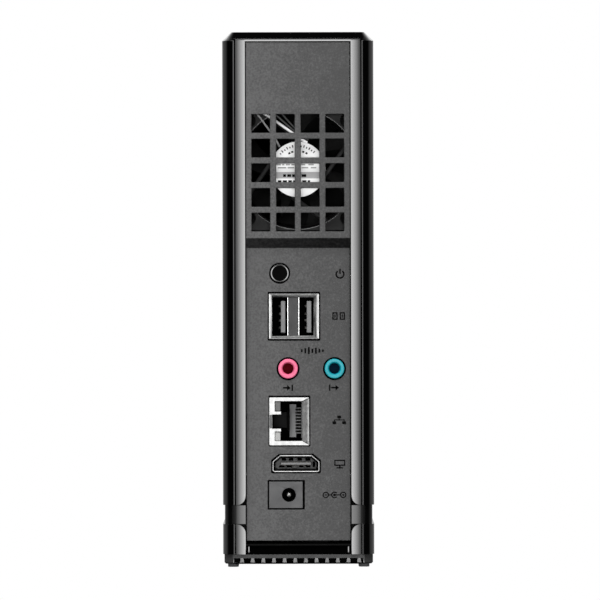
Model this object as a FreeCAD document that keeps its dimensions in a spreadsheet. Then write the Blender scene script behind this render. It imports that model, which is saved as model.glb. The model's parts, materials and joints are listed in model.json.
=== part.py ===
import FreeCAD, Part
import Sketcher
import math
import os

# Slim upright network video recorder.
# Frame: +Z up, the front faces -Y, the socket panel faces +Y.
# Origin: centre of the footprint, at the bottom of the rubber feet.

V = FreeCAD.Vector
doc = FreeCAD.newDocument("recorder")
sheet = doc.addObject("Spreadsheet::Sheet", "dims")


# ---------------------------------------------------------------- dimensions
class Q:
    """A number that also knows the sheet expression it comes from."""

    def __init__(self, v, e=None):
        self.v = float(v)
        self.e = e if e is not None else repr(round(float(v), 6))

    def _o(self, o):
        return o if isinstance(o, Q) else Q(o)

    def __add__(self, o):
        o = self._o(o)
        return Q(self.v + o.v, "(%s + %s)" % (self.e, o.e))

    def __radd__(self, o):
        return self._o(o) + self

    def __sub__(self, o):
        o = self._o(o)
        return Q(self.v - o.v, "(%s - %s)" % (self.e, o.e))

    def __rsub__(self, o):
        return self._o(o) - self

    def __mul__(self, o):
        o = self._o(o)
        return Q(self.v * o.v, "(%s * %s)" % (self.e, o.e))

    def __rmul__(self, o):
        return self._o(o) * self

    def __truediv__(self, o):
        o = self._o(o)
        return Q(self.v / o.v, "(%s / %s)" % (self.e, o.e))

    def __neg__(self):
        return Q(-self.v, "(0 - %s)" % self.e)


def q(x):
    return x if isinstance(x, Q) else Q(x)


row = [0]


def dim(alias, value):
    row[0] += 1
    sheet.set("A%d" % row[0], alias)
    sheet.set("B%d" % row[0], str(value))
    sheet.setAlias("B%d" % row[0], alias)
    return Q(value, "dims." + alias)


# whole object
wide = dim("wide", 49.5)
tall = dim("tall", 175.0)
deep = dim("deep", 137.0)
# shells
wall = dim("wall", 1.65)
roof = dim("roof", 2.0)
corner = dim("corner", 3.35)
corner_rear = dim("corner_rear", 4.55)
lip_curve = dim("lip_curve", 12.7)
lip_drop = dim("lip_drop", 0.41)
bevel = dim("bevel", 2.9)
cover_low = dim("cover_low", 20.3)
seat_high = dim("seat_high", 14.05)
shell_low = dim("shell_low", 4.2)
shell_floor = dim("shell_floor", 1.4)
cover_lip = dim("cover_lip", 20.9)
trim_out = dim("trim_out", 20.5)
trim_in = dim("trim_in", 17.3)
trim_top = dim("trim_top", 172.6)
trim_thick = dim("trim_thick", 1.7)
lip_round = dim("lip_round", 3.1)
# waist and frame
waist_half = dim("waist_half", 24.15)
waist_end = dim("waist_end", 67.65)
waist_curve = dim("waist_curve", 16.0)
waist_turn_x = dim("waist_turn_x", 21.8)
waist_turn_y = dim("waist_turn_y", 66.9)
waist_corner = dim("waist_corner", 3.37)
waist_side_y = dim("waist_side_y", 63.7)
frame_half = dim("frame_half", 22.5)
frame_wall = dim("frame_wall", 1.2)
frame_front = dim("frame_front", 66.3)
frame_back = dim("frame_back", 63.0)
frame_top = dim("frame_top", 168.0)
floor_low = dim("floor_low", 5.65)
floor_top = dim("floor_top", 7.05)
# base
foot_high = dim("foot_high", 1.05)
foot_wide = dim("foot_wide", 3.6)
foot_long = dim("foot_long", 12.0)
foot_in = dim("foot_in", 21.4)
foot_y = dim("foot_y", 59.2)
base_top = dim("base_top", 4.15)
base_half = dim("base_half", 24.3)
base_end = dim("base_end", 67.6)
base_cut = dim("base_cut", 2.8)
# rear panel
panel_half = dim("panel_half", 17.05)
panel_low = dim("panel_low", 8.5)
panel_top = dim("panel_top", 171.7)
panel_thick = dim("panel_thick", 1.6)
port_face = dim("port_face", 65.0)
fan_face = dim("fan_face", 68.0)
step_low = dim("step_low", 104.4)
step_high = dim("step_high", 107.5)
vent_side = dim("vent_side", 6.05)
vent_pitch = dim("vent_pitch", 8.06)
vent_mid = dim("vent_mid", 128.9)
vent_x = dim("vent_x", 0.05)
# fan
fan_x = dim("fan_x", 0.0)
fan_z = dim("fan_z", 130.1)
fan_size = dim("fan_size", 40.0)
fan_thick = dim("fan_thick", 10.0)
fan_back = dim("fan_back", 63.7)
fan_bore = dim("fan_bore", 18.9)
fan_pitch = dim("fan_pitch", 32.0)
hub_rad = dim("hub_rad", 9.1)
blade_rad = dim("blade_rad", 18.3)
shaft_rad = dim("shaft_rad", 1.0)
bush_gap = dim("bush_gap", 0.03)
# main board
board_face = dim("board_face", 9.7)
board_thick = dim("board_thick", 1.6)
board_back = dim("board_back", 60.5)
board_front = dim("board_front", 44.0)
board_low = dim("board_low", 13.5)
board_high = dim("board_high", 104.0)
# sockets
button_x = dim("button_x", 6.05)
button_z = dim("button_z", 96.1)
button_rad = dim("button_rad", 2.98)
button_hole = dim("button_hole", 3.45)
jack_z = dim("jack_z", 64.84)
jack_in_x = dim("jack_in_x", 3.37)
jack_out_x = dim("jack_out_x", -11.83)
jack_rad = dim("jack_rad", 3.22)
jack_bore = dim("jack_bore", 1.8)
jack_hole = dim("jack_hole", 3.75)
dc_x = dim("dc_x", 3.17)
dc_z = dim("dc_z", 23.5)
# disk
disk_x = dim("disk_x", -7.35)
disk_y = dim("disk_y", -8.7)
disk_low = dim("disk_low", 16.5)
disk_thick = dim("disk_thick", 26.1)
disk_wide = dim("disk_wide", 101.6)
disk_long = dim("disk_long", 147.0)
platter_z = dim("platter_z", 111.7)
platter_rad = dim("platter_rad", 47.5)
pivot_y = dim("pivot_y", 18.0)
pivot_z = dim("pivot_z", 60.0)
doc.recompute()

NODES = []


def node(label, obj):
    """Give a finished sub-part its name and keep it for export."""
    obj.Label = label
    NODES.append((label, obj))
    return obj


# ------------------------------------------------------------ small helpers
count = [0]


def fresh(stem):
    count[0] += 1
    return "%s_%03d" % (stem, count[0])


def box(x0, x1, y0, y1, z0, z1, stem="block"):
    o = doc.addObject("Part::Box", fresh(stem))
    for prop, base, lo, hi in (("Length", "x", x0, x1), ("Width", "y", y0, y1), ("Height", "z", z0, z1)):
        lo, hi = q(lo), q(hi)
        if hi.v - lo.v <= 0:
            raise ValueError("empty box %s %s %g %g" % (stem, base, lo.v, hi.v))
        o.setExpression(prop, (hi - lo).e)
        o.setExpression("Placement.Base." + base, lo.e)
    return o


TURN = {"X": FreeCAD.Rotation(V(0, 1, 0), 90), "Y": FreeCAD.Rotation(V(1, 0, 0), -90), "Z": FreeCAD.Rotation()}


def rod(axis, r, a0, a1, u, v, stem="rod"):
    """Cylinder along an axis from a0 to a1; u, v are the other two coordinates in X, Y, Z order."""
    o = doc.addObject("Part::Cylinder", fresh(stem))
    a0, a1, u, v = q(a0), q(a1), q(u), q(v)
    o.Placement = FreeCAD.Placement(V(0, 0, 0), TURN[axis])
    o.setExpression("Radius", q(r).e)
    o.setExpression("Height", (a1 - a0).e)
    at = {"X": (a0, u, v), "Y": (u, a0, v), "Z": (u, v, a0)}[axis]
    for k, val in zip("xyz", at):
        o.setExpression("Placement.Base." + k, val.e)
    return o


def cone(axis, r0, r1, a0, a1, u, v, stem="cone"):
    o = doc.addObject("Part::Cone", fresh(stem))
    a0, a1, u, v = q(a0), q(a1), q(u), q(v)
    o.Placement = FreeCAD.Placement(V(0, 0, 0), TURN[axis])
    o.setExpression("Radius1", q(r0).e)
    o.setExpression("Radius2", q(r1).e)
    o.setExpression("Height", (a1 - a0).e)
    at = {"X": (a0, u, v), "Y": (u, a0, v), "Z": (u, v, a0)}[axis]
    for k, val in zip("xyz", at):
        o.setExpression("Placement.Base." + k, val.e)
    return o


def fuse(*objs):
    if len(objs) == 1:
        return objs[0]
    o = doc.addObject("Part::MultiFuse", fresh("fuse"))
    o.Shapes = list(objs)
    return o


def cut(base, *tools):
    o = doc.addObject("Part::Cut", fresh("cut"))
    o.Base = base
    o.Tool = fuse(*tools)
    return o


def common(a, b):
    o = doc.addObject("Part::Common", fresh("common"))
    o.Base = a
    o.Tool = b
    return o


def group(*objs):
    o = doc.addObject("Part::Compound", fresh("group"))
    o.Links = list(objs)
    return o


def rounded(obj, radius, test):
    """Fillet the edges of obj whose two end points pass the test."""
    doc.recompute()
    ids = []
    for i, e in enumerate(obj.Shape.Edges, 1):
        if len(e.Vertexes) == 2 and test(e.Vertexes[0].Point, e.Vertexes[1].Point, e):
            ids.append((i, q(radius).v, q(radius).v))
    if not ids:
        raise ValueError("no edge to round on " + obj.Name)
    o = doc.addObject("Part::Fillet", fresh("round"))
    o.Base = obj
    o.Edges = ids
    return o


def along(axis):
    k = "xyz".index(axis.lower())

    def test(a, b, e):
        d = (b.x - a.x, b.y - a.y, b.z - a.z)
        return all(abs(d[i]) < 1e-6 for i in range(3) if i != k) and abs(d[k]) > 1e-6
    return test


# ------------------------------------------------- sketched solids (bodies)
PLANE = {"XY": "XY_Plane", "XZ": "XZ_Plane", "YZ": "YZ_Plane"}


class Solid:
    """A body built from sketches that are fixed to the sheet."""

    def __init__(self, label):
        self.body = doc.addObject("PartDesign::Body", label)
        self.last = None

    def origin(self, role):
        return [f for f in self.body.Origin.OriginFeatures if f.Role == role][0]

    def sketch(self, plane, at, loops):
        sk = self.body.newObject("Sketcher::SketchObject", fresh("sketch"))
        sk.AttachmentSupport = [(self.origin(PLANE[plane]), "")]
        sk.MapMode = "FlatFace"
        at = q(at)
        if plane == "XZ":
            at = -at
        sk.setExpression("AttachmentOffset.Base.z", at.e)
        for loop in loops:
            if loop[0] == "circle":
                _, u, v, r = loop
                u, v, r = q(u), q(v), q(r)
                g = sk.addGeometry(Part.Circle(V(u.v, v.v, 0), V(0, 0, 1), r.v), False)
                self.pin(sk, g, 3, u, v)
                i = sk.addConstraint(Sketcher.Constraint("Radius", g, r.v))
                sk.setExpression("Constraints[%d]" % i, r.e)
                continue
            # a point (u, v, r) starts an arc of radius r that bulges to the right of the way round
            pts = [(q(p[0]), q(p[1])) for p in loop]
            n = len(pts)
            ids = []
            for i in range(n):
                a, b = V(pts[i][0].v, pts[i][1].v, 0), V(pts[(i + 1) % n][0].v, pts[(i + 1) % n][1].v, 0)
                if len(loop[i]) == 2:
                    ids.append((sk.addGeometry(Part.LineSegment(a, b), False), 1, 2))
                    continue
                r = q(loop[i][2])
                d = b - a
                out = V(d.y, -d.x, 0)
                out.normalize()
                sag = r.v - math.sqrt(r.v ** 2 - d.Length ** 2 / 4)
                g = sk.addGeometry(Part.Arc(a, (a + b) / 2 + out * sag, b), False)
                near = (sk.getPoint(g, 1) - a).Length < (sk.getPoint(g, 2) - a).Length
                ids.append((g, 1 if near else 2, 2 if near else 1))
                k = sk.addConstraint(Sketcher.Constraint("Radius", g, r.v))
                sk.setExpression("Constraints[%d]" % k, r.e)
            for i in range(n):
                sk.addConstraint(Sketcher.Constraint("Coincident", ids[i][0], ids[i][2], ids[(i + 1) % n][0], ids[(i + 1) % n][1]))
            for i in range(n):
                self.pin(sk, ids[i][0], ids[i][1], pts[i][0], pts[i][1])
        return sk

    def pin(self, sk, g, p, u, v):
        for kind, val in (("DistanceX", u), ("DistanceY", v)):
            if abs(val.v) < 1e-9:
                sk.addConstraint(Sketcher.Constraint("PointOnObject", g, p, -2 if kind == "DistanceX" else -1))
            else:
                i = sk.addConstraint(Sketcher.Constraint(kind, -1, 1, g, p, val.v))
                sk.setExpression("Constraints[%d]" % i, val.e)

    def pad(self, plane, a0, a1, *loops):
        a0, a1 = q(a0), q(a1)
        sk = self.sketch(plane, a1 if plane == "XZ" else a0, loops)
        f = self.body.newObject("PartDesign::Pad", fresh("pad"))
        f.Profile = sk
        f.setExpression("Length", (a1 - a0).e)
        doc.recompute()
        self.last = f
        return f

    def pocket(self, plane, a0, a1, *loops):
        a0, a1 = q(a0), q(a1)
        before = self.body.Shape.Volume
        sk = self.sketch(plane, a0 if plane == "XZ" else a1, loops)
        f = self.body.newObject("PartDesign::Pocket", fresh("pocket"))
        f.Profile = sk
        f.setExpression("Length", (a1 - a0).e)
        doc.recompute()
        if self.body.Shape.Volume > before - 1e-3:
            raise ValueError("pocket %s on %s cut nothing" % (f.Name, self.body.Name))
        self.last = f
        return f

    def revolve(self, *loops):
        """Turn a profile (radius, height) about the body's own Y axis: sketch u = radius along X."""
        sk = self.sketch("XY", 0, loops)
        f = self.body.newObject("PartDesign::Revolution", fresh("turned"))
        f.Profile = sk
        f.ReferenceAxis = (sk, ["V_Axis"])
        f.Angle = 360.0
        doc.recompute()
        self.last = f
        return f

    def repeat(self, feature, axis, pitch, n):
        f = self.body.newObject("PartDesign::LinearPattern", fresh("row"))
        f.Originals = [feature]
        f.Direction = (self.origin(axis + "_Axis"), [""])
        f.setExpression("Length", (q(pitch) * (n - 1)).e)
        f.Occurrences = n
        self.body.Tip = f
        doc.recompute()
        self.last = f
        return f

    def edges(self, test):
        out = []
        for i, e in enumerate(self.last.Shape.Edges, 1):
            if len(e.Vertexes) == 2 and test(e.Vertexes[0].Point, e.Vertexes[1].Point, e):
                out.append("Edge%d" % i)
        if not out:
            raise ValueError("no edges found on " + self.body.Name)
        return out

    def fillet(self, radius, test):
        names = self.edges(test)
        f = self.body.newObject("PartDesign::Fillet", fresh("fillet"))
        f.Base = (self.last, names)
        f.setExpression("Radius", q(radius).e)
        doc.recompute()
        self.last = f
        return f

    def chamfer(self, size, test):
        names = self.edges(test)
        f = self.body.newObject("PartDesign::Chamfer", fresh("chamfer"))
        f.Base = (self.last, names)
        f.setExpression("Size", q(size).e)
        doc.recompute()
        self.last = f
        return f

    def place(self, x=0, y=0, z=0):
        for k, val in zip("xyz", (x, y, z)):
            self.body.setExpression("Placement.Base." + k, q(val).e)
        doc.recompute()


def rect(u0, u1, v0, v1):
    return [(u0, v0), (u1, v0), (u1, v1), (u0, v1)]


def vertical(a, b, e):
    return abs(a.x - b.x) < 1e-6 and abs(a.y - b.y) < 1e-6


# ============================================================ UPPER COVER
cov = Solid("upper_cover")
cov.pad("XY", cover_low, tall, rect(-wide / 2, wide / 2, -deep / 2, deep / 2))
cov.fillet(corner, lambda a, b, e: vertical(a, b, e) and a.y < 0)
cov.fillet(corner_rear, lambda a, b, e: vertical(a, b, e) and a.y > deep.v / 2 - 1e-6)
cov.chamfer(bevel, lambda a, b, e: min(a.z, b.z) > tall.v - 1e-6 and e.Length > 10)
in_x, in_y, in_f, in_r = wide / 2 - wall, deep / 2 - wall, corner - wall, q(2.2)
cov.pocket("XY", cover_low, tall - roof,
           [(-in_x + in_f, -in_y), (in_x - in_f, -in_y, in_f), (in_x, -in_y + in_f), (in_x, in_y - in_r, in_r),
            (in_x - in_r, in_y), (-in_x + in_r, in_y, in_r), (-in_x, in_y - in_r), (-in_x, -in_y + in_f, in_f)])
# the opening for the rear panel, and its closing rim under the roof
cov.pocket("XZ", 60, deep / 2 + 1, rect(-cover_lip, cover_lip, cover_low - 1, trim_top + 0.2))
# slot for the status window at the front
cov.pocket("XZ", -deep / 2 - 1, -60, rect(-2.5, 2.5, 118.0, 152.0))
node("upper_cover", cov.body)

# glossy frame round the rear panel, clipped inside the cover
trim = Solid("rear_trim")
lip_y = deep / 2 - 0.1
trim.pad("XZ", lip_y - trim_thick, lip_y, rect(-trim_in, trim_in, panel_top + 0.2, trim_top))
# both lips fall away outwards in one gentle curve
trim.pad("XY", cover_low, trim_top,
         [(trim_in, lip_y - trim_thick), (trim_out, lip_y - trim_thick), (trim_out, lip_y - lip_drop, lip_curve), (trim_in, lip_y)])
trim.pad("XY", cover_low, trim_top,
         [(-trim_out, lip_y - trim_thick), (-trim_in, lip_y - trim_thick), (-trim_in, lip_y, lip_curve), (-trim_out, lip_y - lip_drop)])
trim.fillet(lip_round, lambda a, b, e: abs(a.z - b.z) < 1e-6 and abs(a.z - cover_low.v) < 1e-6
            and abs(a.x - b.x) < 1e-6 and abs(abs(a.x) - trim_in.v) < 1e-6)
for s in (-1, 1):
    lo, hi = (trim_in, trim_in + 0.8) if s > 0 else (-trim_in - 0.8, -trim_in)
    trim.pad("XZ", 65.2, deep / 2 - 0.1 - trim_thick, rect(lo, hi, cover_low + lip_round, panel_top + 0.2))
    lo, hi = (trim_in + 0.8, 21.6) if s > 0 else (-21.6, -trim_in - 0.8)
    trim.pad("XZ", 65.3, deep / 2 - 0.1 - trim_thick, rect(lo, hi, cover_low + lip_round, trim_top - 1.2))
node("rear_trim", trim.body)

win = Solid("status_window")
win.pad("XZ", -deep / 2 + 0.05, -deep / 2 + wall, rect(-2.4, 2.4, 118.1, 151.9))
win.fillet(0.3, lambda a, b, e: max(a.y, b.y) < -deep.v / 2 + 0.06)
node("status_window", win.body)

# ============================================================ LOWER SHELL
low = Solid("lower_shell")
low.pad("XY", shell_low, seat_high, rect(-wide / 2, wide / 2, -deep / 2, deep / 2))
low.fillet(corner, lambda a, b, e: vertical(a, b, e) and a.y < 0)
low.fillet(corner_rear, lambda a, b, e: vertical(a, b, e) and a.y > deep.v / 2 - 1e-6)
low.pocket("XY", shell_low + shell_floor, seat_high,
           rect(-wide / 2 + wall, wide / 2 - wall, -deep / 2 + wall, deep / 2 - wall))
low.fillet(corner - wall, lambda a, b, e: vertical(a, b, e) and abs(a.x) < wide.v / 2 - wall.v + 1e-6
           and abs(abs(a.y) - (deep.v / 2 - wall.v)) < 1e-6)
low.pocket("XZ", 60, deep / 2 + 1,
           [(-trim_in, panel_low - 0.9), (trim_in, panel_low - 0.9), (trim_in, seat_high + 1), (-trim_in, seat_high + 1)])
low.fillet(lip_round, lambda a, b, e: abs(a.z - b.z) < 1e-6 and abs(a.z - seat_high.v) < 1e-6
           and abs(a.x - b.x) < 1e-6 and abs(abs(a.x) - trim_in.v) < 1e-6)
# the same curve on the two lips, with a narrow groove between lip and corner
low_drop = lip_drop * 1.0
low.pocket("XY", shell_low - 1, seat_high + 1,
           [(20.5, lip_y - low_drop, lip_curve), (trim_in, lip_y), (trim_in, lip_y + 1), (20.87, lip_y + 1),
            (20.87, lip_y - 0.9), (20.5, lip_y - 0.9)])
low.pocket("XY", shell_low - 1, seat_high + 1,
           [(-trim_in, lip_y, lip_curve), (-20.5, lip_y - low_drop), (-20.5, lip_y - 0.9), (-20.87, lip_y - 0.9),
            (-20.87, lip_y + 1), (-trim_in, lip_y + 1)])
# black band below the panel is set back, with a narrow ledge above it
low.pocket("XZ", 67.4, deep / 2 + 1, rect(-trim_in + 0.25, trim_in - 0.25, shell_low - 1, 7.0))
# cooling slots in the floor, over those of the base
slot = low.pocket("XY", shell_low - 1, shell_low + shell_floor + 0.01, rect(-11.3, -8.7, -36, 36))
low.repeat(slot, "X", 5.0, 5)
screw_at = [(sx * 17.8, sy * 50.0) for sx in (-1, 1) for sy in (-1, 1)]
low.pocket("XY", shell_low - 1, shell_low + shell_floor + 0.01, *[("circle", x, y, 1.6) for x, y in screw_at])
node("lower_shell", low.body)

# ============================================================ BASE PLATE
bas = Solid("base_plate")
c = base_cut
X0, Y0 = base_half, base_end
bas.pad("XY", foot_high, base_top,
        [(-X0 + c, -Y0), (X0 - c, -Y0), (X0, -Y0 + c), (X0, Y0 - c), (X0 - c, Y0), (-X0 + c, Y0), (-X0, Y0 - c), (-X0, -Y0 + c)])
bas.chamfer(0.5, lambda a, b, e: max(a.z, b.z) < foot_high.v + 1e-6)
# vent slots across the rear edge, narrower at the top of each rib
for face, y0, y1 in (("rear", base_end - 3.0, base_end + 1), ("front", -base_end - 1, -base_end + 3.0)):
    s = bas.pocket("XZ", y0, y1, [(-19.06, 1.35), (-16.96, 1.35), (-16.71, 2.95), (-19.31, 2.95)])
    bas.repeat(s, "X", 3.48, 11)
    bas.pocket("XZ", y0, y1, [(-21.15, 1.35), (-20.44, 1.35), (-20.19, 2.95), (-21.15, 2.95)])
    bas.pocket("XZ", y0, y1, [(18.97, 2.95), (19.22, 1.35), (21.15, 1.35), (21.15, 2.95)])
s = bas.pocket("XY", foot_high - 1, base_top + 1, rect(-11.3, -8.7, -36, 36))
bas.repeat(s, "X", 5.0, 5)
bas.pocket("XY", foot_high - 1, base_top + 1, *[("circle", x, y, 1.6) for x, y in screw_at])
bas.pocket("XY", foot_high - 1, foot_high + 1.65, *[("circle", x, y, 2.9) for x, y in screw_at])
bas.pocket("XY", foot_high - 1, foot_high + 0.5,
           *[rect(sx * foot_in - foot_wide / 2, sx * foot_in + foot_wide / 2, sy * foot_y - foot_long / 2, sy * foot_y + foot_long / 2)
             for sx in (-1, 1) for sy in (-1, 1)])
node("base_plate", bas.body)

feet = []
for sx in (-1, 1):
    for sy in (-1, 1):
        b = box(sx * foot_in - foot_wide / 2 + 0.05, sx * foot_in + foot_wide / 2 - 0.05,
                sy * foot_y - foot_long / 2 + 0.05, sy * foot_y + foot_long / 2 - 0.05, 0, foot_high + 0.5, "foot")
        feet.append(rounded(b, 1.2, vertical))
node("rubber_feet", group(*feet))

node("base_screws", group(*[cut(fuse(rod("Z", 2.6, foot_high + 0.35, foot_high + 1.65, x, y), rod("Z", 1.35, foot_high + 1.65, 11.4, x, y)),
                                box(x - 1.3, x + 1.3, y - 0.3, y + 0.3, 1.0, foot_high + 1.0),
                                box(x - 0.3, x + 0.3, y - 1.3, y + 1.3, 1.0, foot_high + 1.0)) for x, y in screw_at]))

# ============================================================ INNER FRAME
fr = Solid("inner_frame")
tx, ty, sy = waist_turn_x, waist_turn_y, waist_side_y
flat = trim_in + 0.05
fr.pad("XY", seat_high + 0.1, cover_low - 0.1,
       [(-flat, -waist_end), (flat, -waist_end, waist_curve), (tx, -ty, waist_corner), (waist_half, -sy),
        (waist_half, sy, waist_corner), (tx, ty, waist_curve), (flat, waist_end),
        (-flat, waist_end, waist_curve), (-tx, ty, waist_corner), (-waist_half, sy),
        (-waist_half, -sy, waist_corner), (-tx, -ty, waist_curve)])
low_x, low_y, low_r = frame_half + 0.4, waist_end - 1.05, q(2.0)
fr.pad("XY", floor_low, seat_high + 0.1,
       [(-low_x + low_r, -low_y), (low_x - low_r, -low_y, low_r), (low_x, -low_y + low_r), (low_x, low_y - low_r, low_r),
        (low_x - low_r, low_y), (-low_x + low_r, low_y, low_r), (-low_x, low_y - low_r), (-low_x, -low_y + low_r, low_r)])
fr.pad("XY", cover_low - 0.1, frame_top, rect(-frame_half, frame_half, -frame_front, frame_back))
fr.pocket("XY", floor_top, frame_top + 1,
          rect(-frame_half + frame_wall, frame_half - frame_wall, -frame_front + frame_wall, 65.4))
fr.pocket("XZ", 60, waist_end + 1, rect(-trim_in - 0.05, trim_in + 0.05, floor_top, frame_top + 1))
inner = frame_half - frame_wall
for s in (-1, 1):
    lo, hi = (panel_half + 0.1, inner) if s > 0 else (-inner, -panel_half - 0.1)
    for z0, z1 in ((floor_top, 102.0), (154.0, 166.0)):
        fr.pad("XY", z0, z1, rect(lo, hi, 57.0, 62.4))
# board pillars on the side wall
stand = [(-38.0, 20.0), (-38.0, 98.0), (38.0, 20.0), (38.0, 98.0)]
fr.pad("YZ", board_face + board_thick, inner, *[("circle", y, z, 2.6) for y, z in stand])
fr.pocket("YZ", board_face + board_thick - 0.01, inner - 1.0, *[("circle", y, z, 1.2) for y, z in stand])
# bosses for the base screws
fr.pad("XY", floor_top, 12.4, *[("circle", x, y, 2.8) for x, y in screw_at])
fr.pocket("XY", floor_low - 1, 11.6, *[("circle", x, y, 1.4) for x, y in screw_at])
s = fr.pocket("XY", floor_low - 1, floor_top + 0.01, rect(-11.3, -8.7, -36, 36))
fr.repeat(s, "X", 5.0, 5)
# holes for the panel screws, through the side walls and rear posts
pscrew = [30.0, 95.0, 160.0]
for s in (-1, 1):
    lo, hi = (panel_half, 30.0) if s > 0 else (-30.0, -panel_half)
    fr.pocket("YZ", lo, hi, *[("circle", 59.7, z, 1.3) for z in pscrew])
# light pipe holes in the front wall
fr.pocket("XZ", -frame_front - 1, -frame_front + frame_wall + 0.01, *[("circle", 0, z, 1.45) for z in (123.0, 131.0, 139.0, 147.0)])
# posts that carry the light board
for z in (117.0, 153.0):
    fr.pad("XZ", -frame_front + frame_wall, -64.75, rect(-1.5, 1.5, z - 1.5, z + 1.5))
# small posts under the backplane board
fr.pad("XY", floor_top, 7.65, *[("circle", x, y, 1.8) for x in (-18.0, 6.0) for y in (-43.0, 33.0)])
node("inner_frame", fr.body)

# ============================================================ REAR PANEL
pan = Solid("rear_panel")
k = panel_thick
pan.pad("YZ", -panel_half, panel_half,
        [(port_face, panel_low), (port_face, step_low), (fan_face, step_high), (fan_face, panel_top),
         (fan_face - k, panel_top), (fan_face - k, step_high + 0.7), (port_face - k, step_low + 0.7), (port_face - k, panel_low)])
pan.fillet(0.35, lambda a, b, e: vertical(a, b, e) and a.y > port_face.v - 0.01)
# air grid: one column of five squares, repeated
cells = []
for i in range(5):
    zc = vent_mid + vent_pitch * (i - 2)
    xc = vent_x - vent_pitch * 1.5
    cells.append(rect(xc - vent_side / 2, xc + vent_side / 2, zc - vent_side / 2, zc + vent_side / 2))
col = pan.pocket("XZ", 60, 70, *cells)
pan.repeat(col, "X", vent_pitch, 4)
# socket openings
pan.pocket("XZ", 60, 70,
           ("circle", button_x, button_z, button_hole),
           rect(-7.19, 9.97, 74.0, 89.97),
           ("circle", jack_in_x, jack_z, jack_hole),
           ("circle", jack_out_x, jack_z, jack_hole),
           rect(-3.86, 9.77, 39.4, 56.0),
           rect(-2.03, 10.13, 18.72, 28.37),
           [(-7.3, 30.6), (8.95, 30.6), (8.95, 34.9), (6.4, 36.95), (-4.8, 36.95), (-7.3, 34.9)])
# fixing flanges that run inwards at both sides
for s in (-1, 1):
    lo, hi = (panel_half - 1.0, panel_half) if s > 0 else (-panel_half, -panel_half + 1.0)
    pan.pad("XZ", 56.5, port_face - k + 0.01, rect(lo, hi, 12.0, 100.0))
    pan.pad("XZ", 56.5, fan_face - k + 0.01, rect(lo, hi, 154.0, 168.0))
    pan.pocket("YZ", lo - 0.1, hi + 0.1, *[("circle", 59.7, z, 1.1) for z in pscrew])
# fan bosses
fanh = fan_pitch / 2
fcorn = [(fan_x + sx * fanh, fan_z + sz * fanh) for sx in (-1, 1) for sz in (-1, 1)]
pan.pad("XZ", fan_back, fan_face - k + 0.01, *[("circle", x, z, 2.0) for x, z in fcorn])
pan.pocket("XZ", fan_back - 0.01, fan_face - 0.8, *[("circle", x, z, 0.9) for x, z in fcorn])
# flats on the bosses, so that the cover's lips slide past them
pan.pocket("XZ", fan_back - 1, 70, rect(panel_half, panel_half + 3, 105, 152), rect(-panel_half - 3, -panel_half, 105, 152))
node("rear_panel", pan.body)

sc = []
for s in (-1, 1):
    for z in pscrew:
        if s > 0:
            sc.append(fuse(rod("X", 2.0, frame_half, frame_half + 0.3, 59.7, z), rod("X", 1.05, panel_half - 0.9, frame_half, 59.7, z)))
        else:
            sc.append(fuse(rod("X", 2.0, -frame_half - 0.3, -frame_half, 59.7, z), rod("X", 1.05, -frame_half, -panel_half + 0.9, 59.7, z)))
node("panel_screws", group(*sc))

# ============================================================ MAIN BOARD
brd = Solid("main_board")
bx0, bx1 = board_face, board_face + board_thick
brd.pad("YZ", bx0, bx1, rect(-board_front, board_back, board_low, board_high))
brd.pocket("YZ", bx0 - 0.5, bx1 + 0.5, *[("circle", y, z, 1.5) for y, z in stand])
node("main_board", brd.body)
node("board_screws", group(*[cut(fuse(rod("X", 2.4, board_face - 1.5, board_face, y, z), rod("X", 1.15, board_face, bx1 + 6.0, y, z)),
                                 box(board_face - 1.6, board_face - 0.8, y - 1.2, y + 1.2, z - 0.25, z + 0.25),
                                 box(board_face - 1.6, board_face - 0.8, y - 0.25, y + 0.25, z - 1.2, z + 1.2)) for y, z in stand]))
node("soc_chip", box(bx1, bx1 + 1.4, -9.5, 9.5, 50.5, 69.5, "chip"))
hs = Solid("soc_heatsink")
hs.pad("YZ", bx1 + 1.4, bx1 + 3.0, rect(-14, 14, 46, 74))
f1 = hs.pad("YZ", bx1 + 3.0, bx1 + 9.2, rect(-14, -13, 46, 74))
hs.repeat(f1, "Y", 3.0, 10)
node("soc_heatsink", hs.body)
chips = [box(bx1, bx1 + 1.1, y, y + 9.0, z, z + 13.0, "memory") for y, z in ((18, 62), (18, 44), (-28, 62), (-28, 44))]
chips += [box(bx1, bx1 + 1.2, 32.0, 41.0, 30.0, 39.0, "chip"), box(bx1, bx1 + 1.0, 44.0, 49.0, 58.0, 64.0, "chip"),
          box(bx1, bx1 + 4.2, 46.0, 54.0, 84.0, 88.4, "header"),
          box(board_face - 3.2, board_face, 25.0, 40.5, 46.0, 53.0, "magnetics"),
          box(board_face - 1.6, board_face, 15.0, 23.0, 78.0, 86.0, "chip"),
          box(board_face - 1.2, board_face, -20.0, -14.0, 30.0, 35.0, "chip")]
node("board_chips", group(*chips))
coils = []
for y, z in ((44.5, 18.5), (44.5, 27.5), (30.0, 18.5)):
    b = rounded(box(bx1, bx1 + 4.0, y - 3.5, y + 3.5, z - 3.5, z + 3.5, "coil"), 0.8, along("X"))
    coils.append(cut(b, rod("X", 2.3, bx1 + 3.6, bx1 + 4.1, y, z)))
node("inductors", group(*coils))
caps = []
for y, z, r, l in ((52.3, 18.5, 3.15, 7.7), (52.3, 27.0, 3.15, 7.7), (20.0, 20.0, 3.15, 7.7), (-24.0, 22.0, 2.5, 5.4), (54.0, 70.0, 2.5, 5.4)):
    caps.append(fuse(rod("X", r, bx1 + 0.9, bx1 + l, y, z), box(bx1, bx1 + 0.9, y - r, y + r, z - r, z + r, "cap")))
node("capacitors", group(*caps))
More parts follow.
